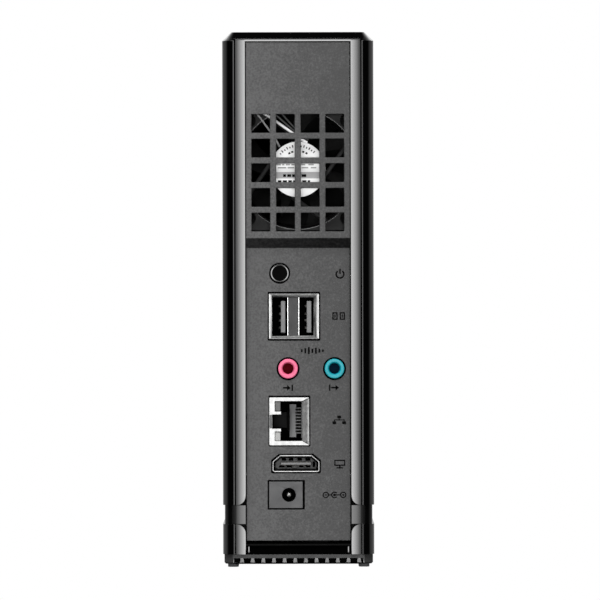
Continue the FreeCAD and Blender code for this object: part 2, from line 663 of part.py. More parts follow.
node("battery_holder", cut(fuse(box(bx1, bx1 + 4.6, -33.0, -10.0, 79.0, 103.0, "holder")),
                           rod("X", 10.1, bx1 + 1.0, bx1 + 6.0, -21.5, 91.0), box(bx1 + 1.0, bx1 + 6.0, -28.0, -15.0, 98.0, 104.0)))
node("rtc_battery", rod("X", 10.0, bx1 + 1.0, bx1 + 4.2, -21.5, 91.0, "cell"))
# tact switch behind the button
node("power_switch", fuse(box(board_face - 7.2, board_face, 53.6, 56.9, button_z - 3.1, button_z + 3.1, "switch"),
                          rod("Y", 1.6, 56.9, 57.4, button_x, button_z)))

# ============================================================ DOUBLE USB SOCKET
ux0, ux1 = -6.83, 9.64
uz0, uz1 = 74.54, 89.41
cav = [(3.56, 8.43), (-5.03, -0.33)]
shell = cut(box(ux0, ux1, 47.8, 65.35, uz0, uz1, "can"), *[box(a, b, 49.0, 66.0, 75.62, 88.17, "mouth") for a, b in cav])
node("usb_shell", shell)
tong = [(4.22, 5.69), (-4.31, -2.78)]
ins = [fuse(box(a + 0.05, b - 0.05, 49.0, 51.5, 75.67, 88.12, "back"), box(c0, c1, 51.5, 64.3, 76.6, 87.0, "tongue"))
       for (a, b), (c0, c1) in zip(cav, tong)]
node("usb_insulator", group(*ins))
pads = []
for c0, c1 in tong:
    for z in (85.36, 82.81, 80.69, 78.27):
        pads.append(box(c1, c1 + 0.15, 51.6, 63.8, z - 0.5, z + 0.5, "contact"))
node("usb_contacts", group(*pads))

# ============================================================ AUDIO SOCKETS
blk = cut(box(-15.9, board_face - 0.05, 49.5, 60.0, 58.2, 71.5, "audio"),
          rod("Y", jack_rad, 51.0, 61.0, jack_in_x, jack_z), rod("Y", jack_rad, 51.0, 61.0, jack_out_x, jack_z))
node("audio_block", blk)
for label, x in (("audio_in_barrel", jack_in_x), ("audio_out_barrel", jack_out_x)):
    a = Solid(label)
    a.revolve([(jack_bore, 51.0), (jack_rad, 51.0), (jack_rad, 65.75), (jack_rad - 0.35, 66.1), (jack_bore + 0.45, 66.1), (jack_bore, 65.65)])
    a.place(x, 0, jack_z)
    node(label, a.body)

# ============================================================ LAN SOCKET
lx0, lx1, lz0, lz1 = -3.56, 9.6, 39.7, 55.5
sh = cut(box(lx0, lx1, 44.4, 65.3, lz0, lz1, "can"),
         box(lx0 + 0.3, lx1 - 0.3, 44.7, 64.7, lz0 + 0.3, lz1 - 0.3, "inside"),
         box(-1.35, 6.0, 64.0, 66.0, 41.0, 54.3, "mouth"),
         box(5.9, 8.6, 64.0, 66.0, 45.2, 49.8, "latch"),
         box(5.9, 8.1, 64.0, 66.0, 50.75, 54.3, "lamp"), box(5.9, 8.1, 64.0, 66.0, 41.0, 44.25, "lamp"))
node("lan_shield", sh)
ho = cut(box(lx0 + 0.35, lx1 - 0.35, 44.8, 64.65, lz0 + 0.35, lz1 - 0.35, "housing"),
         box(-1.1, 5.69, 52.0, 66.0, 41.35, 54.0, "cavity"),
         box(5.6, 8.5, 52.0, 66.0, 45.4, 49.6, "latch"),
         box(6.0, 8.0, 50.0, 66.0, 50.8, 54.2, "lamp"), box(6.0, 8.0, 50.0, 66.0, 41.1, 44.2, "lamp"))
node("lan_housing", ho)
lc = []
for i in range(8):
    z = 47.8 + (i - 3.5) * 1.02
    lc.append(box(-1.1, -0.75, 52.1, 63.4, z - 0.22, z + 0.22, "wire"))
    s = box(-0.75, -0.3, 54.0, 60.5, z - 0.22, z + 0.22, "wire")
    lc[-1] = fuse(lc[-1], s)
node("lan_contacts", group(*lc))
node("lan_led_lenses", group(box(6.05, 7.95, 50.1, 65.1, 50.85, 54.15, "lens"), box(6.05, 7.95, 50.1, 65.1, 41.15, 44.15, "lens")))

# ============================================================ HDMI SOCKET
hd = Solid("hdmi_shell")


def hdmi(g):
    return [(-6.86 + g, 31.0 + g), (8.53 - g, 31.0 + g), (8.53 - g, 34.45), (6.0 - g * 0.6, 36.57 - g), (-4.3 + g * 0.6, 36.57 - g), (-6.86 + g, 34.45)]


hd.pad("XZ", 53.5, 65.35, hdmi(0))
hd.pocket("XZ", 54.2, 66.0, hdmi(0.32))
node("hdmi_shell", hd.body)
node("hdmi_tongue", fuse(box(-4.1, 5.8, 55.4, 64.2, 33.35, 34.1, "tongue"), box(-5.6, 7.3, 54.2, 55.4, 31.5, 34.9, "back")))
node("hdmi_contacts", group(*([box(0.835 + (i - 4.5) * 1.0 - 0.2, 0.835 + (i - 4.5) * 1.0 + 0.2, 55.4, 63.6, 34.1, 34.2, "contact") for i in range(10)]
                              + [box(0.835 + (i - 4.0) * 1.0 - 0.2, 0.835 + (i - 4.0) * 1.0 + 0.2, 55.4, 63.6, 33.25, 33.35, "contact") for i in range(9)])))

# ============================================================ DC INLET
dcb = cut(box(-1.34, board_face - 0.02, 50.8, 65.1, 19.18, 27.88, "inlet"), rod("Y", 2.25, 54.8, 66.0, dc_x, dc_z))
node("dc_jack_body", dcb)
node("dc_jack_pin", fuse(rod("Y", 0.83, 54.8, 63.2, dc_x, dc_z), cone("Y", 0.83, 0.45, 63.2, 63.6, dc_x, dc_z)))

# ============================================================ POWER BUTTON
but = Solid("power_button")
but.revolve([(0, 58.3), (1.5, 58.3), (1.5, 61.7), (4.2, 61.7), (4.2, 62.9), (button_rad, 62.9), (button_rad, 64.75),
             (button_rad - 0.5, 65.25), (1.9, 65.3), (1.7, 65.1), (0, 65.0)])
but.place(button_x, 0, button_z)
node("power_button", but.body)

# ============================================================ FAN
fb, ff = fan_back, fan_back - fan_thick
h2 = fan_size / 2
ff_ = Solid("fan_frame")
ff_.pad("XZ", ff, fb, rect(fan_x - h2, fan_x + h2, fan_z - h2, fan_z + h2))
ff_.fillet(3.4, along("Y"))
ff_.pocket("XZ", ff - 1, fb + 1, ("circle", fan_x, fan_z, fan_bore))
ff_.pocket("XZ", ff - 1, fb + 1, *[("circle", x, z, 2.15) for x, z in fcorn])
# side recesses between the two mounting flanges
ff_.pocket("XZ", ff + 2.4, fb - 2.4,
           rect(fan_x - h2 - 1, fan_x - h2 + 0.6, fan_z - 11, fan_z + 11), rect(fan_x + h2 - 0.6, fan_x + h2 + 1, fan_z - 11, fan_z + 11))
mouth = cone("Y", fan_bore - 0.01, fan_bore + 0.85, fb - 2.2, fb + 0.001, fan_x, fan_z)
shroud = cut(ff_.body, mouth)
arms = []
for ang in (35.0, 125.0, 215.0, 305.0):
    a = box(0, 11.4, -0.75, 0.75, 0, 1.4, "strut")
    a.setExpression("Placement.Base.x", fan_x.e)
    a.setExpression("Placement.Base.y", (fb - 0.3).e)
    a.setExpression("Placement.Base.z", fan_z.e)
    # strut lies radially, its thickness runs inwards from the rear face
    r = FreeCAD.Rotation(V(0, 1, 0), -ang).multiply(FreeCAD.Rotation(V(1, 0, 0), 90))
    a.Placement = FreeCAD.Placement(V(fan_x.v, fb.v - 0.3, fan_z.v), r)
    arms.append(a)
    a.setExpression("Placement.Base.x", (fan_x + 8.6 * math.cos(math.radians(ang))).e)
    a.setExpression("Placement.Base.z", (fan_z + 8.6 * math.sin(math.radians(ang))).e)
hubb = rod("Y", hub_rad + 0.15, fb - 1.5, fb - 0.2, fan_x, fan_z)
tube = rod("Y", 2.6, fb - 7.0, fb - 1.5, fan_x, fan_z)
whole = cut(fuse(shroud, hubb, tube, *arms), rod("Y", 2.02, fb - 7.5, fb - 1.0, fan_x, fan_z))
node("fan_frame", whole)
node("fan_label", rod("Y", hub_rad, fb - 0.2, fb - 0.05, fan_x, fan_z, "label"))
node("fan_bearing", cut(rod("Y", 2.0, fb - 7.0, fb - 1.6, fan_x, fan_z), rod("Y", shaft_rad + bush_gap, fb - 7.5, fb - 1.0, fan_x, fan_z)))
st = [rod("Y", 4.3, fb - 5.9, fb - 2.3, fan_x, fan_z)]
for i in range(4):
    a = math.radians(90 * i)
    b = box(-1.3, 1.3, 0, 3.0, 3.9, 6.6, "pole")
    b.Placement = FreeCAD.Placement(V(fan_x.v, fb.v - 5.6, fan_z.v), FreeCAD.Rotation(V(0, 1, 0), 90.0 * i))
    # the pole is laid out from the fan axis: shift it along its own direction
    off = FreeCAD.Rotation(V(0, 1, 0), 90.0 * i).multVec(V(-1.3, 0, 3.9))
    b.setExpression("Placement.Base.x", (fan_x + off.x).e)
    b.setExpression("Placement.Base.y", (fb - 5.6).e)
    b.setExpression("Placement.Base.z", (fan_z + off.z).e)
    st.append(b)
ring_ = cut(rod("Y", 7.25, fb - 5.3, fb - 2.9, fan_x, fan_z), rod("Y", 6.4, fb - 6.0, fb - 2.0, fan_x, fan_z))
node("fan_stator", cut(fuse(ring_, *st), rod("Y", 2.65, fb - 8.0, fb - 1.0, fan_x, fan_z)))
node("fan_screws", group(*[cut(fuse(rod("Y", 2.7, ff - 1.5, ff, x, z), rod("Y", 0.85, ff, fb + 3.0, x, z)),
                               box(x - 1.4, x + 1.4, ff - 1.6, ff - 0.8, z - 0.3, z + 0.3), box(x - 0.3, x + 0.3, ff - 1.6, ff - 0.8, z - 1.4, z + 1.4))
                           for x, z in fcorn]))

# rotor: cup, blades, magnet ring and shaft
cup = cut(rod("Y", hub_rad - 0.1, ff + 0.9, fb - 1.9, fan_x, fan_z), rod("Y", hub_rad - 0.9, ff + 2.0, fb - 1.0, fan_x, fan_z),
          rod("Y", shaft_rad, ff + 0.5, ff + 3.0, fan_x, fan_z))
boss = cut(rod("Y", 2.0, ff + 1.9, ff + 2.6, fan_x, fan_z), rod("Y", shaft_rad, ff + 0.5, ff + 3.0, fan_x, fan_z))
NB = 7
blades = []
for i in range(NB):
    b = box(0, 10.6, -5.2, 5.2, -0.45, 0.45, "blade")
    t = 360.0 / NB * i
    r = FreeCAD.Rotation(V(0, 1, 0), -t).multiply(FreeCAD.Rotation(V(1, 0, 0), 52.0))
    off = FreeCAD.Rotation(V(0, 1, 0), -t).multVec(V(8.6, 0, 0)) + r.multVec(V(0, -5.2, -0.45))
    b.Placement = FreeCAD.Placement(V(0, 0, 0), r)
    b.setExpression("Placement.Base.x", (fan_x + off.x).e)
    b.setExpression("Placement.Base.y", (fb - 5.45 + off.y).e)
    b.setExpression("Placement.Base.z", (fan_z + off.z).e)
    blades.append(b)
band = cut(rod("Y", blade_rad, ff + 1.0, fb - 2.0, fan_x, fan_z), rod("Y", hub_rad - 0.5, ff, fb, fan_x, fan_z))
node("fan_rotor", fuse(cup, boss, common(fuse(*blades), band)))
node("fan_magnet", cut(rod("Y", hub_rad - 0.95, ff + 2.7, fb - 2.2, fan_x, fan_z), rod("Y", hub_rad - 1.55, ff + 2.0, fb, fan_x, fan_z)))
node("fan_shaft", rod("Y", shaft_rad, ff + 0.95, fb - 2.3, fan_x, fan_z, "shaft"))


# wires from the fan down to the board: straight runs joined by tangent arcs
def tube_path(points, r):
    pts = [V(*p) for p in points]
    edges, here = [], pts[0]
    for i in range(1, len(pts) - 1):
        a, p, b = pts[i - 1], pts[i], pts[i + 1]
        u, w = (p - a), (b - p)
        turn = u.getAngle(w)
        t = 0.45 * min(u.Length, w.Length)
        u.normalize()
        w.normalize()
        s, e = p - u * t, p + w * t
        rad = t / math.tan(turn / 2)
        bis = (w - u)
        bis.normalize()
        mid = p + bis * (rad / math.cos(turn / 2) - rad)
        edges += [Part.LineSegment(here, s).toShape(), Part.Arc(s, mid, e).toShape()]
        print("wire arc radius %.2f" % rad)
        here = e
    edges.append(Part.LineSegment(here, pts[-1]).toShape())
    w = Part.Wire(edges)
    d = pts[1] - pts[0]
    prof = Part.Wire(Part.Circle(pts[0], d, r).toShape())
    s = w.makePipeShell([prof], True, False)
    print("wire volume %.2f against %.2f" % (s.Volume, math.pi * r * r * w.Length))
    return s


cab = doc.addObject("Part::Feature", "fan_cable")
zf = float(sheet.get("fan_z")) - float(sheet.get("fan_size")) / 2
cab.Shape = tube_path([(16.2, 58.0, zf), (16.2, 58.0, zf - 6.0), (15.0, 54.5, zf - 12.0), (13.4, 50.0, 88.8)], 0.75)
cab.Placement = FreeCAD.Placement(V(0, 0, 0), FreeCAD.Rotation())
node("fan_cable", cab)

# ============================================================ DISK
dx0, dx1 = disk_x - disk_thick / 2, disk_x + disk_thick / 2
dy0, dy1 = disk_y - disk_wide / 2, disk_y + disk_wide / 2
dz0, dz1 = disk_low, disk_low + disk_long
cas = Solid("drive_casting")
cas.pad("YZ", dx0 + 2.2, dx1 - 1.3, rect(dy0, dy1, dz0, dz1))
cas.fillet(3.0, along("X"))
cas.pocket("YZ", dx0 + 7.2, dx1 - 1.3, ("circle", disk_y, platter_z, platter_rad + 1.3))
cas.pocket("YZ", dx0 + 7.2, dx1 - 1.3, rect(disk_y - 42.0, disk_y + 42.0, disk_low + 8.0, platter_z - 34.0))
cas.pad("YZ", dx0 + 7.2, dx0 + 19.0, ("circle", disk_y, platter_z, 2.4), ("circle", pivot_y, pivot_z, 2.4))
side = [44.0, 85.5, 145.6]
cas.pocket("XZ", dy0 - 0.01, dy0 + 1.9, *[("circle", disk_x, z, 1.65) for z in side])
cas.pocket("XZ", dy1 - 1.9, dy1 + 0.01, *[("circle", disk_x, z, 1.65) for z in side])
cas.pocket("YZ", dx0 + 2.1, dx0 + 6.4, rect(-6.0, 38.0, disk_low - 1, disk_low + 5.6))
node("drive_casting", cas.body)
lid = Solid("drive_lid")
lid.pad("YZ", dx1 - 1.3, dx1, rect(dy0, dy1, dz0, dz1))
lid.fillet(3.0, along("X"))
lid.pocket("YZ", dx1 - 0.5, dx1 + 0.5, ("circle", disk_y, platter_z, 40.0))
node("drive_lid", lid.body)
node("drive_board", box(dx0 + 0.6, dx0 + 2.2, -48.0, 34.0, disk_low + 6.0, 74.0, "diskboard"))
node("drive_plug", cut(box(dx0 + 0.6, dx0 + 6.2, -5.6, 37.6, disk_low + 0.4, disk_low + 5.5, "plug"),
                       box(dx0 + 2.2, dx0 + 4.9, -4.6, 36.6, disk_low - 1, disk_low + 4.4)))
hub = cut(fuse(rod("X", 12.5, dx0 + 7.8, dx0 + 21.0, disk_y, platter_z),
               rod("X", platter_rad, dx0 + 11.4, dx0 + 12.7, disk_y, platter_z), rod("X", platter_rad, dx0 + 17.7, dx0 + 19.0, disk_y, platter_z)),
          rod("X", 2.45, dx0 + 7.0, dx0 + 19.6, disk_y, platter_z))
node("drive_platters", hub)
ang = math.radians(171.9)
armlen = 46.0
hub2 = rod("X", 6.0, dx0 + 8.0, dx0 + 20.6, pivot_y, pivot_z)
arm = box(0, 1.5, 0, armlen, -3.0, 3.0, "arm")
rot = FreeCAD.Rotation(V(1, 0, 0), 171.9)
off = rot.multVec(V(0, 0, -3.0))
arm.Length, arm.Width, arm.Height = 1.5, armlen, 6.0
arm.Placement = FreeCAD.Placement(V(0, 0, 0), rot)
arm.setExpression("Placement.Base.x", (dx0 + 14.4).e)
arm.setExpression("Placement.Base.y", (pivot_y + off.y).e)
arm.setExpression("Placement.Base.z", (pivot_z + off.z).e)
coil = box(0, 2.4, 0, 12.5, -7.0, 7.0, "voicecoil")
rot2 = FreeCAD.Rotation(V(1, 0, 0), 171.9 - 180.0)
off2 = rot2.multVec(V(0, 0, -7.0))
coil.Placement = FreeCAD.Placement(V(0, 0, 0), rot2)
coil.setExpression("Placement.Base.x", (dx0 + 13.9).e)
coil.setExpression("Placement.Base.y", (pivot_y + off2.y).e)
coil.setExpression("Placement.Base.z", (pivot_z + off2.z).e)
node("head_arm", cut(fuse(hub2, arm, coil), rod("X", 2.46, dx0 + 7.0, dx0 + 19.6, pivot_y, pivot_z)))

# brackets that hold the disk at its two narrow sides
for label, y0, y1, fy0, fy1 in (("drive_bracket_front", dy0 - 1.6, dy0 - 0.6, dy0 - 1.6, dy0 + 7.5),
                                ("drive_bracket_rear", dy1 + 0.6, dy1 + 1.6, dy1 - 5.6, dy1 + 1.6)):
    plate = rounded(box(dx0 + 0.6, dx1 - 0.6, y0, y1, 9.0, 160.0, "plate"), 3.0, along("Y"))
    foot = box(disk_x - 6.0, disk_x + 6.0, fy0, fy1, floor_top, floor_top + 1.0, "foot")
    web = box(disk_x - 6.0, disk_x + 6.0, y0, y1, floor_top, 12.0, "web")
    node(label, cut(fuse(plate, foot, web), *([rod("Y", 1.9, y0 - 1, y1 + 1, disk_x, z) for z in side]
                                             + [box(disk_x - 9.0, disk_x + 9.0, y0 - 1, y1 + 1, z - 5.0, z + 5.0, "relief") for z in (65.0, 105.0, 125.0)])))
dsc = []
for z in side:
    dsc.append(fuse(rod("Y", 3.2, dy0 - 2.9, dy0 - 1.6, disk_x, z), rod("Y", 1.6, dy0 - 1.6, dy0 + 1.8, disk_x, z)))
    dsc.append(fuse(rod("Y", 3.2, dy1 + 1.6, dy1 + 2.9, disk_x, z), rod("Y", 1.6, dy1 - 1.8, dy1 + 1.6, disk_x, z)))
node("drive_screws", group(*dsc))

# backplane under the disk
node("backplane_board", box(-20.0, 9.0, -45.5, 35.5, 7.65, 9.25, "backplane"))
node("drive_socket", fuse(box(dx0 + 0.8, dx0 + 6.0, -7.0, 39.0 - 4.0, 9.25, disk_low - 0.2, "socket"),
                          box(dx0 + 2.4, dx0 + 4.7, -4.3, 34.0, disk_low - 0.2, disk_low + 3.8, "blade")))
node("link_header", fuse(box(6.2, board_face, 8.0, 30.0, 14.2, 18.2, "header"), box(6.4, 9.4, 8.2, 29.8, 9.25, 14.2, "socket")))

# front status lights
node("led_board", box(-4.5, 4.5, -64.75, -63.75, 114.0, 156.0, "ledboard"))
node("status_leds", group(*[box(-0.8, 0.8, -65.35, -64.75, z - 0.6, z + 0.6, "led") for z in (123.0, 131.0, 139.0, 147.0)]))
node("light_pipes", group(*[fuse(rod("Y", 1.4, -frame_front - 0.1, -frame_front + 0.85, 0, z), rod("Y", 2.0, -frame_front - 0.2, -frame_front, 0, z))
                            for z in (123.0, 131.0, 139.0, 147.0)]))

doc.recompute()

# ============================================================ checks and files
bad = []
for o in doc.Objects:
    if any(s in ("Invalid", "Error") for s in o.State):
        bad.append("%s (%s): %s" % (o.Label, o.Name, o.State))
for label, o in NODES:
    s = o.Shape
    if s.isNull() or not s.isValid() or not s.Solids:
        bad.append("%s: shape is null, invalid or has no solid" % label)
if len(NODES) > 60 or len(set(n for n, _ in NODES)) != len(NODES):
    bad.append("node count or names: %d" % len(NODES))
if bad:
    raise RuntimeError("\n".join(bad))

os.makedirs("parts", exist_ok=True)
for label, o in NODES:
    o.Shape.exportStep("parts/%s.step" % label)
    bb = o.Shape.BoundBox
    print("%-22s solids %2d  vol %9.1f  X %7.2f %7.2f  Y %7.2f %7.2f  Z %7.2f %7.2f"
          % (label, len(o.Shape.Solids), o.Shape.Volume, bb.XMin, bb.XMax, bb.YMin, bb.YMax, bb.ZMin, bb.ZMax))
print(len(NODES), "nodes")
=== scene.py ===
import bpy
import bmesh
import json
import math
from mathutils import Matrix, Vector

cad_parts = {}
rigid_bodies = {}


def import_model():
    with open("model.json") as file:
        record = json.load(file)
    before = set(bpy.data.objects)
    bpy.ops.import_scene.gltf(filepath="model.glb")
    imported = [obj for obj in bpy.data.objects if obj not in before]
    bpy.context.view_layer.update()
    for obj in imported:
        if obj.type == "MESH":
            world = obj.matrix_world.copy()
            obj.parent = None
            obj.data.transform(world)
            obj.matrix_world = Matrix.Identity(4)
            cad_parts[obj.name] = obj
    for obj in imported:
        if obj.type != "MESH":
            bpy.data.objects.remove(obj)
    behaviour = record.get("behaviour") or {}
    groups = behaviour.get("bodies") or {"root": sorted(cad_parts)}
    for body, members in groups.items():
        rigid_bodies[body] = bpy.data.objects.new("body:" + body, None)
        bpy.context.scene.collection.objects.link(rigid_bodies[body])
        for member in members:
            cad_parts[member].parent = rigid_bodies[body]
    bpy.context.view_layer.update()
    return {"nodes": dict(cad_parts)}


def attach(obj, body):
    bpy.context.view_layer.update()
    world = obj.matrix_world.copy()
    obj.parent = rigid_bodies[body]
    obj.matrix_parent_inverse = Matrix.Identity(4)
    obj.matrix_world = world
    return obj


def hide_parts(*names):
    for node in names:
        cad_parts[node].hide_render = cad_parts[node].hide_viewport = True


# Slim upright network video recorder, seen from its socket side.
# Frame: +Z up, the front faces -Y, the socket panel faces +Y, metres.

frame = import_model()
N = frame["nodes"]
MM = 0.001

for stray in [o for o in bpy.context.scene.objects if o.type in ("LIGHT", "CAMERA")]:
    bpy.data.objects.remove(stray)
for o in [o for o in bpy.context.scene.objects if o.name == "Cube"]:
    bpy.data.objects.remove(o)


# ------------------------------------------------------------------ materials
class Nodes:
    """A short hand for a material's node tree."""

    def __init__(self, name):
        self.m = bpy.data.materials.new(name)
        self.m.use_nodes = True
        self.t = self.m.node_tree
        self.t.nodes.clear()
        self.out = self.add("ShaderNodeOutputMaterial")
        self.b = self.add("ShaderNodeBsdfPrincipled")
        self.t.links.new(self.b.outputs[0], self.out.inputs["Surface"])
        self.co = None

    def add(self, kind, **props):
        n = self.t.nodes.new(kind)
        for k, v in props.items():
            setattr(n, k, v)
        return n

    def link(self, a, b):
        self.t.links.new(a, b)

    def coord(self, scale=(1, 1, 1)):
        if self.co is None:
            self.co = self.add("ShaderNodeTexCoord").outputs["Object"]
        if scale == (1, 1, 1):
            return self.co
        mp = self.add("ShaderNodeMapping")
        mp.inputs["Scale"].default_value = scale
        self.link(self.co, mp.inputs["Vector"])
        return mp.outputs[0]

    def noise(self, scale, detail=2.0, rough=0.5, stretch=(1, 1, 1), distortion=0.0):
        n = self.add("ShaderNodeTexNoise")
        n.inputs["Scale"].default_value = scale
        n.inputs["Detail"].default_value = detail
        n.inputs["Roughness"].default_value = rough
        n.inputs["Distortion"].default_value = distortion
        self.link(self.coord(stretch), n.inputs["Vector"])
        return n.outputs["Fac"]

    def cells(self, scale, feature="F1"):
        n = self.add("ShaderNodeTexVoronoi", feature=feature)
        n.inputs["Scale"].default_value = scale
        self.link(self.coord(), n.inputs["Vector"])
        return n.outputs["Distance"]

    def wave(self, scale, direction, distortion=0.0, kind="BANDS"):
        n = self.add("ShaderNodeTexWave", wave_type=kind, bands_direction=direction)
        n.inputs["Scale"].default_value = scale
        n.inputs["Distortion"].default_value = distortion
        self.link(self.coord(), n.inputs["Vector"])
        return n.outputs["Fac"]

    def span(self, value, a, b, lo=0.0, hi=1.0):
        n = self.add("ShaderNodeMapRange")
        for k, v in (("From Min", lo), ("From Max", hi), ("To Min", a), ("To Max", b)):
            n.inputs[k].default_value = v
        self.link(value, n.inputs["Value"])
        return n.outputs[0]

    def math(self, op, a, b=None):
        n = self.add("ShaderNodeMath", operation=op)
        for i, v in enumerate((a, b)):
            if v is None:
                continue
            if isinstance(v, (int, float)):
                n.inputs[i].default_value = v
            else:
                self.link(v, n.inputs[i])
        return n.outputs[0]

    def ramp(self, value, stops):
        n = self.add("ShaderNodeValToRGB")
        e = n.color_ramp.elements
        while len(e) > 1:
            e.remove(e[-1])
        e[0].position, e[0].color = stops[0][0], (*stops[0][1], 1)
        for p, c in stops[1:]:
            x = e.new(p)
            x.color = (*c, 1)
        self.link(value, n.inputs["Fac"])
        return n.outputs["Color"]

    def bump(self, height, strength, distance, under=None):
        n = self.add("ShaderNodeBump")
        n.inputs["Strength"].default_value = strength
        n.inputs["Distance"].default_value = distance
        self.link(height, n.inputs["Height"])
        if under is not None:
            self.link(under, n.inputs["Normal"])
        return n.outputs[0]

    def set(self, **k):
        names = {"metallic": "Metallic", "ior": "IOR", "spec": "Specular IOR Level", "coat": "Coat Weight",
                 "coat_rough": "Coat Roughness", "trans": "Transmission Weight", "sheen": "Sheen Weight",
                 "sss": "Subsurface Weight", "alpha": "Alpha"}
        for a, v in k.items():
            self.b.inputs[names[a]].default_value = v
        return self


def shade(c, f):
    return tuple(max(0.0, min(1.0, v * f)) for v in c)


def plastic(name, base, rough, vary=0.15, rough_vary=0.05, grain=0.0, grain_size=0.35, wave_strength=0.0, ior=1.5, **extra):
    """Moulded plastic: slight colour drift, uneven polish, optional fine grain and long soft waves in the surface."""
    g = Nodes(name)
    drift = g.noise(55.0, 3.0, 0.55)
    g.link(g.ramp(drift, [(0.3, shade(base, 1 - vary)), (0.7, shade(base, 1 + vary))]), g.b.inputs["Base Color"])
    polish = g.noise(260.0, 4.0, 0.6)
    g.link(g.span(polish, max(0.02, rough - rough_vary), rough + rough_vary, 0.25, 0.75), g.b.inputs["Roughness"])
    normal = None
    if wave_strength:
        normal = g.bump(g.noise(90.0, 1.0, 0.4), wave_strength, 0.0002)
    if grain:
        normal = g.bump(g.noise(1000.0 / grain_size, 2.0, 0.5), grain, 0.00006, normal)
    if normal is not None:
        g.link(normal, g.b.inputs["Normal"])
    g.set(ior=ior, **extra)
    return g.m


def metal(name, base, rough, brushed=None, vary=0.08, rough_vary=0.08, grain=0.0, **extra):
    """Metal: faint tarnish, uneven polish, and brushing along one axis where asked."""
    g = Nodes(name)
    drift = g.noise(120.0, 4.0, 0.6)
    g.link(g.ramp(drift, [(0.25, shade(base, 1 - vary)), (0.75, shade(base, 1 + vary))]), g.b.inputs["Base Color"])
    stretch = {"X": (0.05, 1, 1), "Y": (1, 0.05, 1), "Z": (1, 1, 0.05)}.get(brushed, (1, 1, 1))
    lines = g.noise(3200.0 if brushed else 900.0, 3.0, 0.6, stretch)
    g.link(g.span(lines, max(0.03, rough - rough_vary), rough + rough_vary, 0.3, 0.7), g.b.inputs["Roughness"])
    if brushed or grain:
        g.link(g.bump(lines, grain or 0.12, 0.00003), g.b.inputs["Normal"])
    g.set(metallic=1.0, **extra)
    return g.m


M = {}
M["gloss"] = plastic("gloss_black_shell", (0.0006, 0.0006, 0.0006), 0.07, 0.2, 0.012, wave_strength=0.012)
M["gloss_lip"] = plastic("gloss_black_lip", (0.0006, 0.0006, 0.0006), 0.08, 0.2, 0.012, wave_strength=0.01)
M["frame"] = plastic("black_frame", (0.001, 0.001, 0.001), 0.14, 0.2, 0.03, grain=0.02, spec=0.3)
M["frame_turn"] = plastic("black_frame_turn", (0.001, 0.001, 0.001), 0.14, 0.2, 0.03, grain=0.02, spec=0.14)
M["base"] = plastic("black_base", (0.022, 0.022, 0.022), 0.35, 0.25, 0.06, grain=0.2, spec=0.08)
M["rib"] = plastic("black_base_rib", (0.02, 0.02, 0.02), 0.3, 0.5, 0.08, grain=0.2, spec=0.34)
M["rubber"] = plastic("foot_rubber", (0.034, 0.034, 0.036), 0.75, 0.2, 0.08, grain=0.35, grain_size=0.3)
M["button"] = plastic("button_black", (0.0015, 0.0015, 0.0016), 0.09, 0.2, 0.02, spec=0.7)
M["cap"] = plastic("button_face", (0.0008, 0.0008, 0.0008), 0.7, 0.2, 0.05, spec=0.02)
M["frame_dark"] = plastic("black_frame_matt", (0.001, 0.001, 0.001), 0.7, 0.2, 0.08, grain=0.08, spec=0.05)
# unlit black with almost no reflection, for the lower shell's groove and foot recess: painted shade
M["band"] = plastic("painted_shade_band", (0.0004, 0.0004, 0.0004), 0.6, 0.2, 0.05, spec=0.002)
# unlit black with almost no reflection, for hollows, gaps and the backs of parts: painted shade
M["well"] = plastic("well_black", (0.0006, 0.0006, 0.0006), 0.8, 0.2, 0.08, spec=0.02)
M["coated"] = plastic("black_coated_steel", (0.004, 0.004, 0.004), 0.55, 0.2, 0.08, grain=0.08, spec=0.1)
M["fan"] = plastic("fan_black", (0.004, 0.004, 0.004), 0.6, 0.2, 0.08, grain=0.12, spec=0.14)
M["fan_rim"] = plastic("fan_black_rim", (0.0035, 0.0035, 0.0036), 0.16, 0.2, 0.04)
M["fan_disc"] = plastic("fan_black_disc", (0.002, 0.002, 0.002), 0.5, 0.2, 0.05, spec=0.06)
M["rotor"] = plastic("rotor_black", (0.0022, 0.0022, 0.0022), 0.42, 0.2, 0.06, grain=0.02, spec=0.05)
M["insert_black"] = plastic("insert_black", (0.003, 0.003, 0.0031), 0.5, 0.2, 0.08, grain=0.1, spec=0.15)
M["insert_grey"] = plastic("insert_grey", (0.11, 0.11, 0.111), 0.5, 0.12, 0.08, grain=0.08, spec=0.25)
M["lead_pale"] = plastic("lead_pale", (0.66, 0.66, 0.66), 0.4, 0.06, 0.05)
M["lead_grey"] = plastic("lead_grey", (0.2, 0.2, 0.2), 0.4, 0.1, 0.05, spec=0.3)
M["lead_dark"] = plastic("lead_dark", (0.02, 0.02, 0.02), 0.4, 0.15, 0.05, spec=0.4)
M["web"] = plastic("socket_web", (0.024, 0.024, 0.0242), 0.5, 0.2, 0.08, grain=0.06, spec=0.2)
M["ramp"] = plastic("socket_floor", (0.15, 0.15, 0.1505), 0.6, 0.15, 0.08, grain=0.06, spec=0.2)
# a darker copy of the socket grey for the keyway floor: painted shade
M["insert_shaded"] = plastic("socket_shelf", (0.016, 0.016, 0.0161), 0.6, 0.2, 0.08, grain=0.06, spec=0.04)
M["strip"] = plastic("socket_strip", (0.058, 0.058, 0.058), 0.5, 0.1, 0.08, spec=0.25)
M["collar"] = plastic("socket_collar", (0.045, 0.045, 0.0452), 0.5, 0.15, 0.08, grain=0.08, spec=0.2)
M["comb"] = plastic("socket_comb", (0.07, 0.07, 0.0702), 0.5, 0.2, 0.08, spec=0.2)
